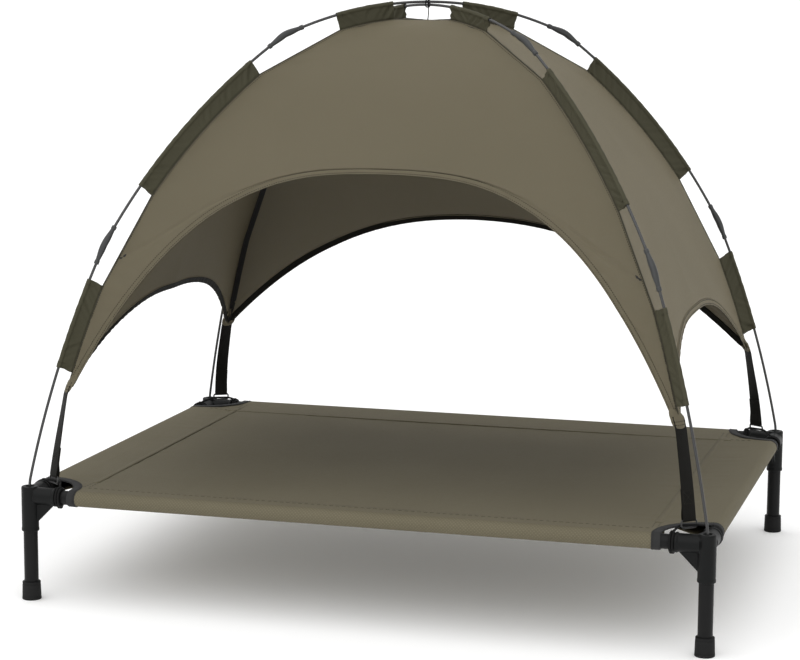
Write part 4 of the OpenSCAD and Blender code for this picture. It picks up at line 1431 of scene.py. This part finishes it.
# --- Canopy poles -----------------------------------------------------------------------------
@dataclass
class CanopyPoles:
    """Two crossed poles of hollow glass-fibre rods, each joined by bent ferrules on a shock cord."""
    rod_r: float = 2.5
    bore_r: float = 1.6
    insert: float = 30.0
    ferrule_mid: float = 5.8
    ferrule_end: float = 3.8
    collar: float = 4.5

    def line(self, corner: Corner, x: np.ndarray) -> np.ndarray:
        """Points of a corner's half pole at distances from its tip."""
        p = POLE.at(x)
        rise = PLAN.pole_rise * corner.value[2]
        return PLAN.at_diagonal(corner, p[..., 0], p[..., 1] + rise)

    def rod(self, path: np.ndarray, side: np.ndarray) -> Patch:
        """A hollow rod with rounded ends: outer and inner rings along one path, joined at both ends."""
        n = len(path)
        order = np.concatenate([[0, 0], np.arange(n), [n - 1, n - 1], np.arange(n)[::-1], [0]])
        size = np.concatenate([[self.bore_r, self.rod_r - 0.4], np.full(n, self.rod_r),
                               [self.rod_r - 0.4, self.bore_r], np.full(n, self.bore_r), [self.bore_r]])
        tangent = unit(np.gradient(path, axis=0))
        spokes = rings_round(path, side, tangent, 18)
        points = path[order][:, None] + spokes[order] * size[:, None, None]
        push = np.zeros(len(order))
        push[[0, 1, -1]] = -0.5
        push[[n + 2, n + 3]] = 0.5
        points += tangent[order][:, None] * push[:, None, None]
        return grid(points)

    def ferrule(self, corner: Corner, start: float) -> Patch:
        """A bent ferrule: its radius swells from square-cut end collars to a thick elbow."""
        length = POLE.ferrule
        x = np.array([0, 0, 0.7, 5.2, 6.0, 7.0, *np.linspace(9, length / 2 * 0.55, 8),
                      *np.linspace(length / 2 * 0.62, length / 2, 8)])
        x = np.concatenate([x, length - x[-2::-1]])
        end, mid = self.ferrule_end, self.ferrule_mid
        d = np.minimum(x, length - x)
        radius = end + (mid - end) * step(d, 5, length / 2 * 0.8)
        radius = np.where(d < 6.1, self.collar, radius)
        radius[[0, -1]] = self.rod_r + 0.05
        radius[[1, -2]] = self.collar - 0.4
        path = self.line(corner, start + x)
        side = PLAN.sideways(corner)
        tangent = unit(self.line(corner, start + x + 0.5) - self.line(corner, start + x - 0.5))
        spokes = rings_round(path, side, tangent, 24)
        points = path[:, None] + spokes * radius[:, None, None]
        ends = np.broadcast_to(path[[0, -1], None], (2, spokes.shape[1], 3))
        return grid(np.concatenate([ends[:1], points, ends[1:]]))

    def crossing_tie(self) -> list[Patch]:
        """The tie at the crossing: two turns of flat elastic round both rods, and its tail down to the seam."""
        apex = POLE.at(np.array(POLE.length))[1]
        a = np.linspace(0, 2 * np.pi, 49)
        power = 0.62
        half_y, half_z = 8.0, 6.8
        y = half_y * np.sign(np.cos(a)) * np.abs(np.cos(a)) ** power
        z = half_z * np.sign(np.sin(a)) * np.abs(np.sin(a)) ** power
        band = round_section(1.1, 8)
        loops = []
        for x, lean in ((-1.4, 0.14), (1.4, -0.1)):
            path = np.stack([x + lean * y, y, apex + z], 1)
            loops.append(sweep(path, band, path - [x, 0, apex], closed=True))
        tail_top = apex - half_z
        drop = np.linspace(0, tail_top - SEAM.apex_z + 1.5, 10)
        tail = np.stack([0.8 * np.sin(drop / 6), 0 * drop, tail_top - drop], 1)
        loops.append(sweep(tail, oblong_section(1.8, 1.2, 0.5, 3), np.array([0, 1.0, 0])))
        return loops

    def build(self) -> None:
        """Builds the rods, ferrules and tie, and dresses the shock cords' CAD nodes."""
        end = POLE.ferrule1_at
        for corner in Corner:
            side = PLAN.sideways(corner)
            lower = np.concatenate([np.linspace(0, 38, 4), np.linspace(39, 52, 10),
                                    np.linspace(56, end + self.insert, 90)])
            upper = np.linspace(POLE.upper_at - self.insert, POLE.ferrule2_at + self.insert, 100)
            for name, x in (("lower", lower), ("upper", upper)):
                Piece(f"{name}_rod_{corner.label}_tube", [self.rod(self.line(corner, x), side)], [GLASS_FIBRE],
                      "glass_fibre_rod", CANOPY_BODY, (f"{name}_rod_{corner.label}",)).build()
            for name, start in (("lower", POLE.ferrule1_at), ("upper", POLE.ferrule2_at)):
                Piece(f"{name}_ferrule_{corner.label}_sleeve", [self.ferrule(corner, start)], [FERRULE],
                      "ferrule", CANOPY_BODY, (f"{name}_ferrule_{corner.label}",), sharp_angle=28).build()
        for node, near, far in (("top_rod_a", Corner.FRONT_LEFT, Corner.REAR_RIGHT),
                                ("top_rod_b", Corner.FRONT_RIGHT, Corner.REAR_LEFT)):
            x = np.linspace(POLE.top_at - self.insert, POLE.length, 70)
            path = np.concatenate([self.line(near, x), self.line(far, x)[-2::-1]])
            Piece(f"{node}_tube", [self.rod(path, PLAN.sideways(near))], [GLASS_FIBRE], "glass_fibre_rod",
                  CANOPY_BODY, (node,)).build()
        Piece("crossing_tie_elastic", self.crossing_tie(), [ELASTIC], "tie_cord", CANOPY_BODY,
              ("crossing_tie",)).build()
        for node in ("shock_cord_a", "shock_cord_b"):
            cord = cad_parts[node]
            cord.data.materials.clear()
            cord.data.materials.append(SHOCK.material())


# --- Canopy cloth ------------------------------------------------------------------------------
class Side(Enum):
    """The four panels: turn in quarter turns, arch peak, arch half width, arch power, and whether it is long."""
    FRONT = (0, 754.0, 528.36, 2.8, True)
    RIGHT = (1, 500.0, 388.0, 2.8, False)
    BACK = (2, 613.0, 527.2, 2.2, True)
    LEFT = (3, 500.0, 388.0, 2.8, False)


@dataclass
class Canopy:
    """Four cloth panels between the seams, each curved one way and pulled in a little at its middle."""
    thickness: float = 0.9
    leg_z: float = 375.0
    clear: float = 1.5
    sag: float = 9.0
    hem: float = 11.0
    columns: int = 260
    rows: int = 60

    def turn(self, side: Side) -> np.ndarray:
        """The matrix that turns a panel drawn at the front to its own side."""
        a = side.value[0] * math.pi / 2
        c, s = round(math.cos(a)), round(math.sin(a))
        return np.array([[c, s, 0], [-s, c, 0], [0, 0, 1.0]])

    def surface(self, side: Side, t: np.ndarray, r: np.ndarray, depth: float = 0.0) -> np.ndarray:
        """Points of a panel drawn at the front, at y below 0.

        Across it t goes from -1 to 1, and up it r goes from 0 at the arch to 1 at the seams. The height and the
        distance from the centre follow the seam's profile, eased away from the seam; the middle is pulled in by
        the sag times one less the square of the share of the half width; hem and seam make small puckers.

        Args:
            side: which panel.
            t: shares across.
            r: shares up.
            depth: how far inside the outer face.
        Returns:
            The points in millimetres.
        """
        _, peak, half, power, long_side = side.value
        k, across = (PLAN.uy, PLAN.ux) if long_side else (PLAN.ux, PLAN.uy)
        u = np.abs(t)
        arch_z = peak - (peak - self.leg_z) * u ** power
        v = SEAM.share_at(arch_z) * (1 - r) + (1 - u) * r
        top = SEAM.at(1 - u)
        edge = np.maximum(0, across * top[..., 0] - self.clear / k * across - depth * across / k * 0.5)
        x = half * u * (1 - r) + edge * r
        limit = np.maximum(across * SEAM.at(v)[..., 0], 1.0)
        inset = np.clip(limit - x, 0, None)
        blend = step(inset, 2, 70)[..., None]
        eased = SEAM.at(v) * (1 - blend) + SEAM.at(v, True) * blend
        slope = SEAM.at(v + 0.004, True) - SEAM.at(v - 0.004, True)
        ahead = unit(np.stack([slope[..., 0] * k, slope[..., 1]], -1))
        inward = np.stack([-ahead[..., 1], ahead[..., 0]], -1)
        share = np.clip(x / limit, 0, 1)
        pull = self.sag * (limit / (PLAN.half_diag * 0.8)) ** 1.2 * (1 - share ** 2) * (0.6 + 0.4 * step(r, 0, 0.3))
        seed = side.value[0] * 10
        run = np.sign(t) * (half * u + 0.75 * (peak - self.leg_z) * u ** power)
        height = v * SEAM.length
        low = SEAM.share_at(arch_z) * SEAM.length
        steep = power * (peak - self.leg_z) * u ** (power - 1) / half
        square = (height - low) / np.sqrt(1 + steep ** 2)
        hem = 1 - step(square, self.hem - 1.2, self.hem + 0.8)
        groove = np.exp(-((square - self.hem - 0.6) / 1.3) ** 2) * step(r, 0, 0.004)
        pucker = 0.8 * ripple(run, 21, seed + 1) * np.exp(-square / 12) * step(u, 0.05, 0.45)
        tension = 0.9 * ripple(height + 0.3 * x, 46, seed + 2) * np.exp(-inset / 30) * step(inset, 0, 8)
        drape = 1.3 * ripple(x * 0.8 + height * 0.5, 210, seed + 3) * step(inset, 10, 120)
        lift = -pull + 1.1 * hem - 1.6 * groove + pucker + tension + drape - depth
        y = inward[..., 0] * lift - k * eased[..., 0]
        z = eased[..., 1] - inward[..., 1] * lift
        return np.stack([np.sign(t) * x, y, z], -1)

    def panel_grid(self, side: Side) -> tuple[np.ndarray, np.ndarray]:
        """The shares across and up at which a panel is drawn: rows that follow the hem, then ever closer to the seams.

        Args:
            side: which panel.
        Returns:
            The shares across and the shares up, as two grids.
        """
        t = np.linspace(-1, 1, self.columns + 1)
        hem = self.hem
        insets = np.array([0, 0.8, 2, 3.5, 5, 6.5, 8, *np.arange(hem - 2, hem + 3.1, 0.5), hem + 5, hem + 8, hem + 12])
        inner = np.clip(t, -0.999, 0.999)
        share = np.stack([self.share_in(side, inner, d) for d in insets], 1)
        share = 0.5 * np.tanh(share / 0.5)
        q = np.linspace(0, 1, self.rows + 1)[1:]
        rest = share[:, -1:] + (1 - share[:, -1:]) * np.sin(q * np.pi / 2)[None]
        return np.broadcast_to(t[:, None], (len(t), len(insets) + self.rows)), np.concatenate([share, rest], 1)

    def share_in(self, side: Side, t: np.ndarray, inset: float) -> np.ndarray:
        """The share up a panel at which a point lies at a distance from its arch, measured square to the arch.

        Args:
            side: which panel.
            t: shares across.
            inset: the distance from the arch in millimetres.
        Returns:
            The shares, at most 0.9.
        """
        edge = self.surface(side, t, np.zeros_like(t))
        rise = (self.surface(side, t, np.full_like(t, 0.02)) - edge) / 0.02
        tangent = unit(np.gradient(edge, axis=0))
        rise = rise - (rise * tangent).sum(1, keepdims=True) * tangent
        return np.minimum(inset / np.linalg.norm(rise, axis=1), 0.9)

    def hem_band(self, side: Side) -> Patch:
        """The tape that binds an arch: a strip just inside the panel, a little narrower than the hem."""
        t = np.linspace(-0.995, 0.995, self.columns + 1)
        share = np.linspace(0, 1, 5)[None] * self.share_in(side, t, 1.1 * self.hem)[:, None]
        return grid(self.surface(side, np.broadcast_to(t[:, None], share.shape), share, self.thickness + 0.35))

    def sewn_lines(self, side: Side) -> list[Patch]:
        """Stitching on a panel: two rows along its hem and one beside each seam."""
        rows = []
        t = np.linspace(-0.985, 0.985, 700)
        for inset in (2.5, self.hem - 1.5):
            share = self.share_in(side, t, inset)
            line = self.surface(side, t, share)
            rows.append(self.sewn(line, self.surface(side, t, share + 0.01), 0.25))
        for sign in (-1, 1):
            u = np.linspace(0.02, 0.985, 500) * sign
            line = self.surface(side, u, np.full_like(u, 0.985))
            rows.append(self.sewn(line, self.surface(side, u, np.full_like(u, 0.96)), 0.1))
        return rows

    def sewn(self, line: np.ndarray, beside: np.ndarray, proud: float) -> Patch:
        """Stitches along a line on a panel, just proud of its outer face.

        Args:
            line: the points of the line.
            beside: points on the panel beside it, which give the face's direction.
            proud: how far the stitches stand off the face.
        Returns:
            The stitches.
        """
        normal = unit(np.cross(np.gradient(line, axis=0), beside - line))
        normal *= np.sign((normal * [0, -1, 0.2]).sum(1, keepdims=True))
        return stitches(line + normal * proud, normal, 4.2)

    def build_panel(self, side: Side) -> None:
        turn = self.turn(side)
        label = side.name.lower()
        t, r = self.panel_grid(side)
        points = self.surface(side, t, r)
        cloth_map = np.stack([points[..., 0], SEAM.length * SEAM.share_at(points[..., 2])], 2)
        sheet = grid(points, cloth_map).moved(turn, np.zeros(3))
        outward = np.array([0, -1.0, 0.6]) @ turn
        panel = Piece(f"{label}_panel_cloth", [sheet], [CANOPY_CLOTH], "canopy_fabric", CANOPY_BODY,
                      (f"{label}_panel",), Wall.CLOTH, self.thickness, 80, outward).build()
        band = Piece(f"{label}_panel_hem", [self.hem_band(side).moved(turn, np.zeros(3))], [ARCH_TAPE],
                     "canopy_fabric", CANOPY_BODY, (), Wall.CLOTH, 0.8, 80, outward).build()
        thread = Piece(f"{label}_panel_stitching", [p.moved(turn, np.zeros(3)) for p in self.sewn_lines(side)],
                       [THREAD], "canopy_fabric", CANOPY_BODY).build()

    def build(self) -> None:
        """Builds the four panels."""
        for side in Side:
            self.build_panel(side)


@dataclass
class PoleSleeve:
    """The sleeves on one half pole: cloth folded over the rod, sewn to the seam, and gathered at its ends."""
    rod_r: float = 4.0
    fin: float = 0.85
    cloth: float = 0.8
    gather: float = 2.6
    wave: float = 19.0

    def outline(self) -> np.ndarray:
        """The fold's profile: (outward of the rod's axis, to the side), from the seam round the rod and back."""
        a = np.radians(np.linspace(-148, 148, 25))
        loop = self.rod_r * np.stack([np.cos(a), np.sin(a)], 1)
        drop = SEAM.drop
        low = np.array([[-drop + 0.4, -self.fin], [-drop + 4, -self.fin], [-drop + 8, -self.fin - 0.05],
                        [-13.5, -1.0], [-10.0, -1.3], [-6.0, -1.8]])
        return np.concatenate([low, loop, low[::-1] * [1, -1]])

    def strip(self, corner: Corner, start: float, end: float, seed: int) -> list[Patch]:
        """One sleeve: its profile at places along the pole, moved to the side in slanting pleats.

        A pleat is a sine along the pole whose phase slants with the distance from the rod and whose height
        fades away from the sleeve's ends, from the seam and from the rod.

        Args:
            corner: which half pole.
            start: where the sleeve begins, as a distance from the pole's tip.
            end: where it ends.
            seed: the pleats' seed.
        Returns:
            The cloth and the stitching of its two end hems.
        """
        outline = self.outline()
        x = np.linspace(start, end, int((end - start) / 1.6))
        h, w = outline[:, 0][None], outline[:, 1][None]
        from_end = np.minimum(x - start, end - x)[:, None]
        share = np.clip((h + SEAM.drop) / SEAM.drop, 0, 1)
        belly = np.sin(np.pi * np.clip(share, 0, 1)) ** 0.8
        slant = np.where(x[:, None] < (start + end) / 2, 1, -1) * 0.9 * (h + SEAM.drop)
        fade = 0.4 + 1.2 * np.exp(-from_end / 34)
        pleat = self.gather * belly * fade * ripple(x[:, None] + slant, self.wave, seed)
        puff = 1 + 0.09 * ripple(x[:, None], 23, seed + 7) * np.clip(share - 0.7, 0, 1) * 3
        fold = 1 + 0.09 * (1 - step(from_end, 7.0, 8.5)) * (h > -5)
        side = w * puff * fold + pleat
        out = np.where(h > -5, h * np.where(h > 0, puff * fold, 1.0), h)
        centre = POLE.at(x)[:, None]
        outward = POLE.outward(x)[:, None]
        place = centre + outward * out[..., None]
        rise = PLAN.pole_rise * corner.value[2] * step(share, 0.0, 0.75)
        points = PLAN.at_diagonal(corner, place[..., 0], place[..., 1] + rise, side)
        sheet = grid(points, np.stack(np.broadcast_arrays(x[:, None], run_length(outline)[None]), 2))
        rows = []
        for at in (6, len(x) - 7):
            ring = points[at, 4:-4]
            away = unit(ring - points[at].mean(axis=0))
            rows.append(stitches(resampled(ring + away * 0.15, 0.8), UP, 3.4, 1))
        return [sheet], rows

    def build(self, corner: Corner) -> None:
        cloth, thread, length = [], [], 0.0
        for k, (start, end) in enumerate(SLEEVE_RUNS):
            sheets, rows = self.strip(corner, start, end, 40 + 10 * list(Corner).index(corner) + k)
            cloth += sheets
            thread += rows
            length += end - start
        sleeve = Piece(f"pole_sleeve_{corner.label}_cloth", cloth, [SLEEVE_CLOTH], "sleeve_fabric", CANOPY_BODY,
                       (f"pole_sleeve_{corner.label}",), Wall.CLOTH, self.cloth, 75).build()
        self.turn_outwards(sleeve, corner)
        sewn = Piece(f"pole_sleeve_{corner.label}_stitching", thread, [SLEEVE_CLOTH, THREAD], "sleeve_fabric",
                     CANOPY_BODY).build()

    def turn_outwards(self, sleeve: bpy.types.Object, corner: Corner) -> None:
        """Flips the sleeve if its faces at the rod point at the rod's axis instead of away from it."""
        mesh = sleeve.data
        count = len(mesh.polygons)
        centre, normal = np.empty(count * 3, np.float32), np.empty(count * 3, np.float32)
        mesh.polygons.foreach_get("center", centre)
        mesh.polygons.foreach_get("normal", normal)
        side = PLAN.sideways(corner)
        w = centre.reshape(-1, 3) @ side
        if (np.sign(w) * (normal.reshape(-1, 3) @ side)).sum() < 0:
            mesh.flip_normals()


@dataclass
class SeamTrim:
    """What closes each seam: a narrow piping outside and a black tape inside."""
    piping_r: float = 1.3
    tape_w: float = 9.0
    inset: float = 1.6

    def build(self, corner: Corner) -> None:
        """Builds one seam's piping, swept along the seam, and its tape, folded along both panels."""
        line = resampled(SEAM.points, 6.0)
        path = PLAN.at_diagonal(corner, line[:, 0] - 0.3, line[:, 1])
        side = PLAN.sideways(corner)
        tangent = unit(np.gradient(path, axis=0))
        piping = sweep(path[:-1], round_section(self.piping_r, 8), np.cross(side, tangent)[:-1])
        Piece(f"canopy_seam_{corner.label}_piping", [piping], [DARK_TRIM], "binding_tape", CANOPY_BODY).build()
        sx, sy, _ = corner.value
        u = np.array([-1.0, -0.75, -0.5, -0.25, -0.06, 0.06, 0.25, 0.5, 0.75, 1.0]) * self.tape_w
        reach = np.minimum(np.abs(u)[None], np.maximum(line[:-4, :1] * 0.5, 0.5)) * np.sign(u)[None]
        reach = reach * step(run_length(line)[:-4, None], -30, 60)
        inner = path[:-4] - PLAN.outwards(corner) * 2.6
        shift = np.where(reach[..., None] < 0, np.array([-sx, 0, 0]), np.array([0, -sy, 0]))
        points = inner[:, None] + shift * np.abs(reach)[..., None]
        tape = grid(points)
        outward = PLAN.outwards(corner) + 0.4 * UP
        Piece(f"canopy_seam_{corner.label}_tape", [tape], [BINDING], "binding_tape", CANOPY_BODY, (),
              Wall.CLOTH, 0.7, 80, outward).build()


# --- Studio -------------------------------------------------------------------------------------
@dataclass
class Studio:
    """A pale floor, soft white light from all round and a camera at eye height."""
    camera_at: tuple = (1.1214, -4.0874, 1.0988)
    azimuth: float = 15.99
    pitch: float = 8.82
    roll: float = 0.29
    focal_mm: float = 104.5

    def camera(self) -> None:
        """Places the camera: it looks along its azimuth, pitched down, and is rolled by a hair."""
        a, e, q = (math.radians(v) for v in (self.azimuth, self.pitch, self.roll))
        ahead = np.array([-math.sin(a) * math.cos(e), math.cos(a) * math.cos(e), -math.sin(e)])
        right = np.array([math.cos(a), math.sin(a), 0.0])
        up = np.cross(right, ahead)
        level, rise = math.cos(q) * right + math.sin(q) * up, math.cos(q) * up - math.sin(q) * right
        data = bpy.data.cameras.new("camera")
        data.lens = self.focal_mm
        data.sensor_width = 36.0
        data.clip_end = 1000.0
        camera = bpy.data.objects.new("camera", data)
        bpy.context.collection.objects.link(camera)
        rows = np.stack([level, rise, -ahead, np.array(self.camera_at)], 1)
        camera.matrix_world = Matrix([*rows.tolist(), [0, 0, 0, 1]])
        bpy.context.scene.camera = camera

    def light(self, name: str, kind: str, at: np.ndarray, toward: np.ndarray, power: float) -> bpy.types.Light:
        """A light at a place, facing away from a direction.

        Args:
            name: the light's name.
            kind: SUN or AREA.
            at: its place in metres.
            toward: the direction from what it lights to the light.
            power: its strength, in watts a square metre for a sun and in watts for an area.
        Returns:
            The light's data, for its size.
        """
        data = bpy.data.lights.new(name, kind)
        data.energy = power
        lamp = bpy.data.objects.new(name, data)
        bpy.context.collection.objects.link(lamp)
        z = unit(toward)
        x = unit(np.cross([0.01, 0.02, 1.0], z))
        rows = np.stack([x, np.cross(z, x), z, at], 1)
        lamp.matrix_world = Matrix([*rows.tolist(), [0, 0, 0, 1]])
        return data

    def lights(self) -> None:
        """A broad sun from above and the front left, and a large soft light in front that faces the bed."""
        toward = np.array([-0.14, -0.4, 1.0])
        self.light("key", "SUN", 3 * unit(toward), toward, 1.25).angle = math.radians(90.0)
        at = np.array([-0.6, -4.2, 2.4])
        fill = self.light("front_fill", "AREA", at, at - [0, 0, 0.4], 18)
        fill.shape = "SQUARE"
        fill.size = 3.0

    def floor(self) -> None:
        """A wide pale floor under the bed, with a faint glow of its own that keeps the shadow light."""
        reach = 400000.0
        corners = np.array([[[-reach, -reach, 0], [reach, -reach, 0]], [[-reach, reach, 0], [reach, reach, 0]]])
        patch = grid(corners)
        mesh = bpy.data.meshes.new("floor")
        mesh.from_pydata((patch.points * MM).tolist(), [], patch.faces[0].tolist())
        material = bpy.data.materials.new("pale_floor")
        material.use_nodes = True
        tree = material.node_tree
        shader = tree.nodes["Principled BSDF"]
        shader.inputs["Base Color"].default_value = linear("#fbfbfb")
        shader.inputs["Roughness"].default_value = 0.75
        shader.inputs["Specular IOR Level"].default_value = 0.2
        shader.inputs["Emission Color"].default_value = (1, 1, 1, 1)
        shader.inputs["Emission Strength"].default_value = 0.08
        mesh.materials.append(material)
        floor = bpy.data.objects.new("floor", mesh)
        bpy.context.collection.objects.link(floor)

    def build(self) -> None:
        """Sets up the camera, the lights, the floor and the white surroundings."""
        self.camera()
        self.floor()
        self.lights()
        world = bpy.data.worlds.new("studio_white")
        world.use_nodes = True
        sky = world.node_tree.nodes["Background"]
        sky.inputs["Color"].default_value = (1, 1, 1, 1)
        sky.inputs["Strength"].default_value = 0.82
        scene = bpy.context.scene
        scene.world = world
        scene.view_settings.view_transform = "Standard"
        scene.view_settings.look = "None"


def main() -> None:
    """Builds the studio and the bed, sub-assembly by sub-assembly."""
    logging.basicConfig(level=logging.INFO, format="%(name)s: %(message)s")
    Studio().build()
    SteelFrame().build()
    for corner in Corner:
        Foot().build(corner)
    Connector().build()
    Deck().build()
    for corner in Corner:
        Binding().build(corner)
    CanopyPoles().build()
    Canopy().build()
    for corner in Corner:
        PoleSleeve().build(corner)
        SeamTrim().build(corner)
    StrapSet().build()


if __name__ == "__main__":
    main()
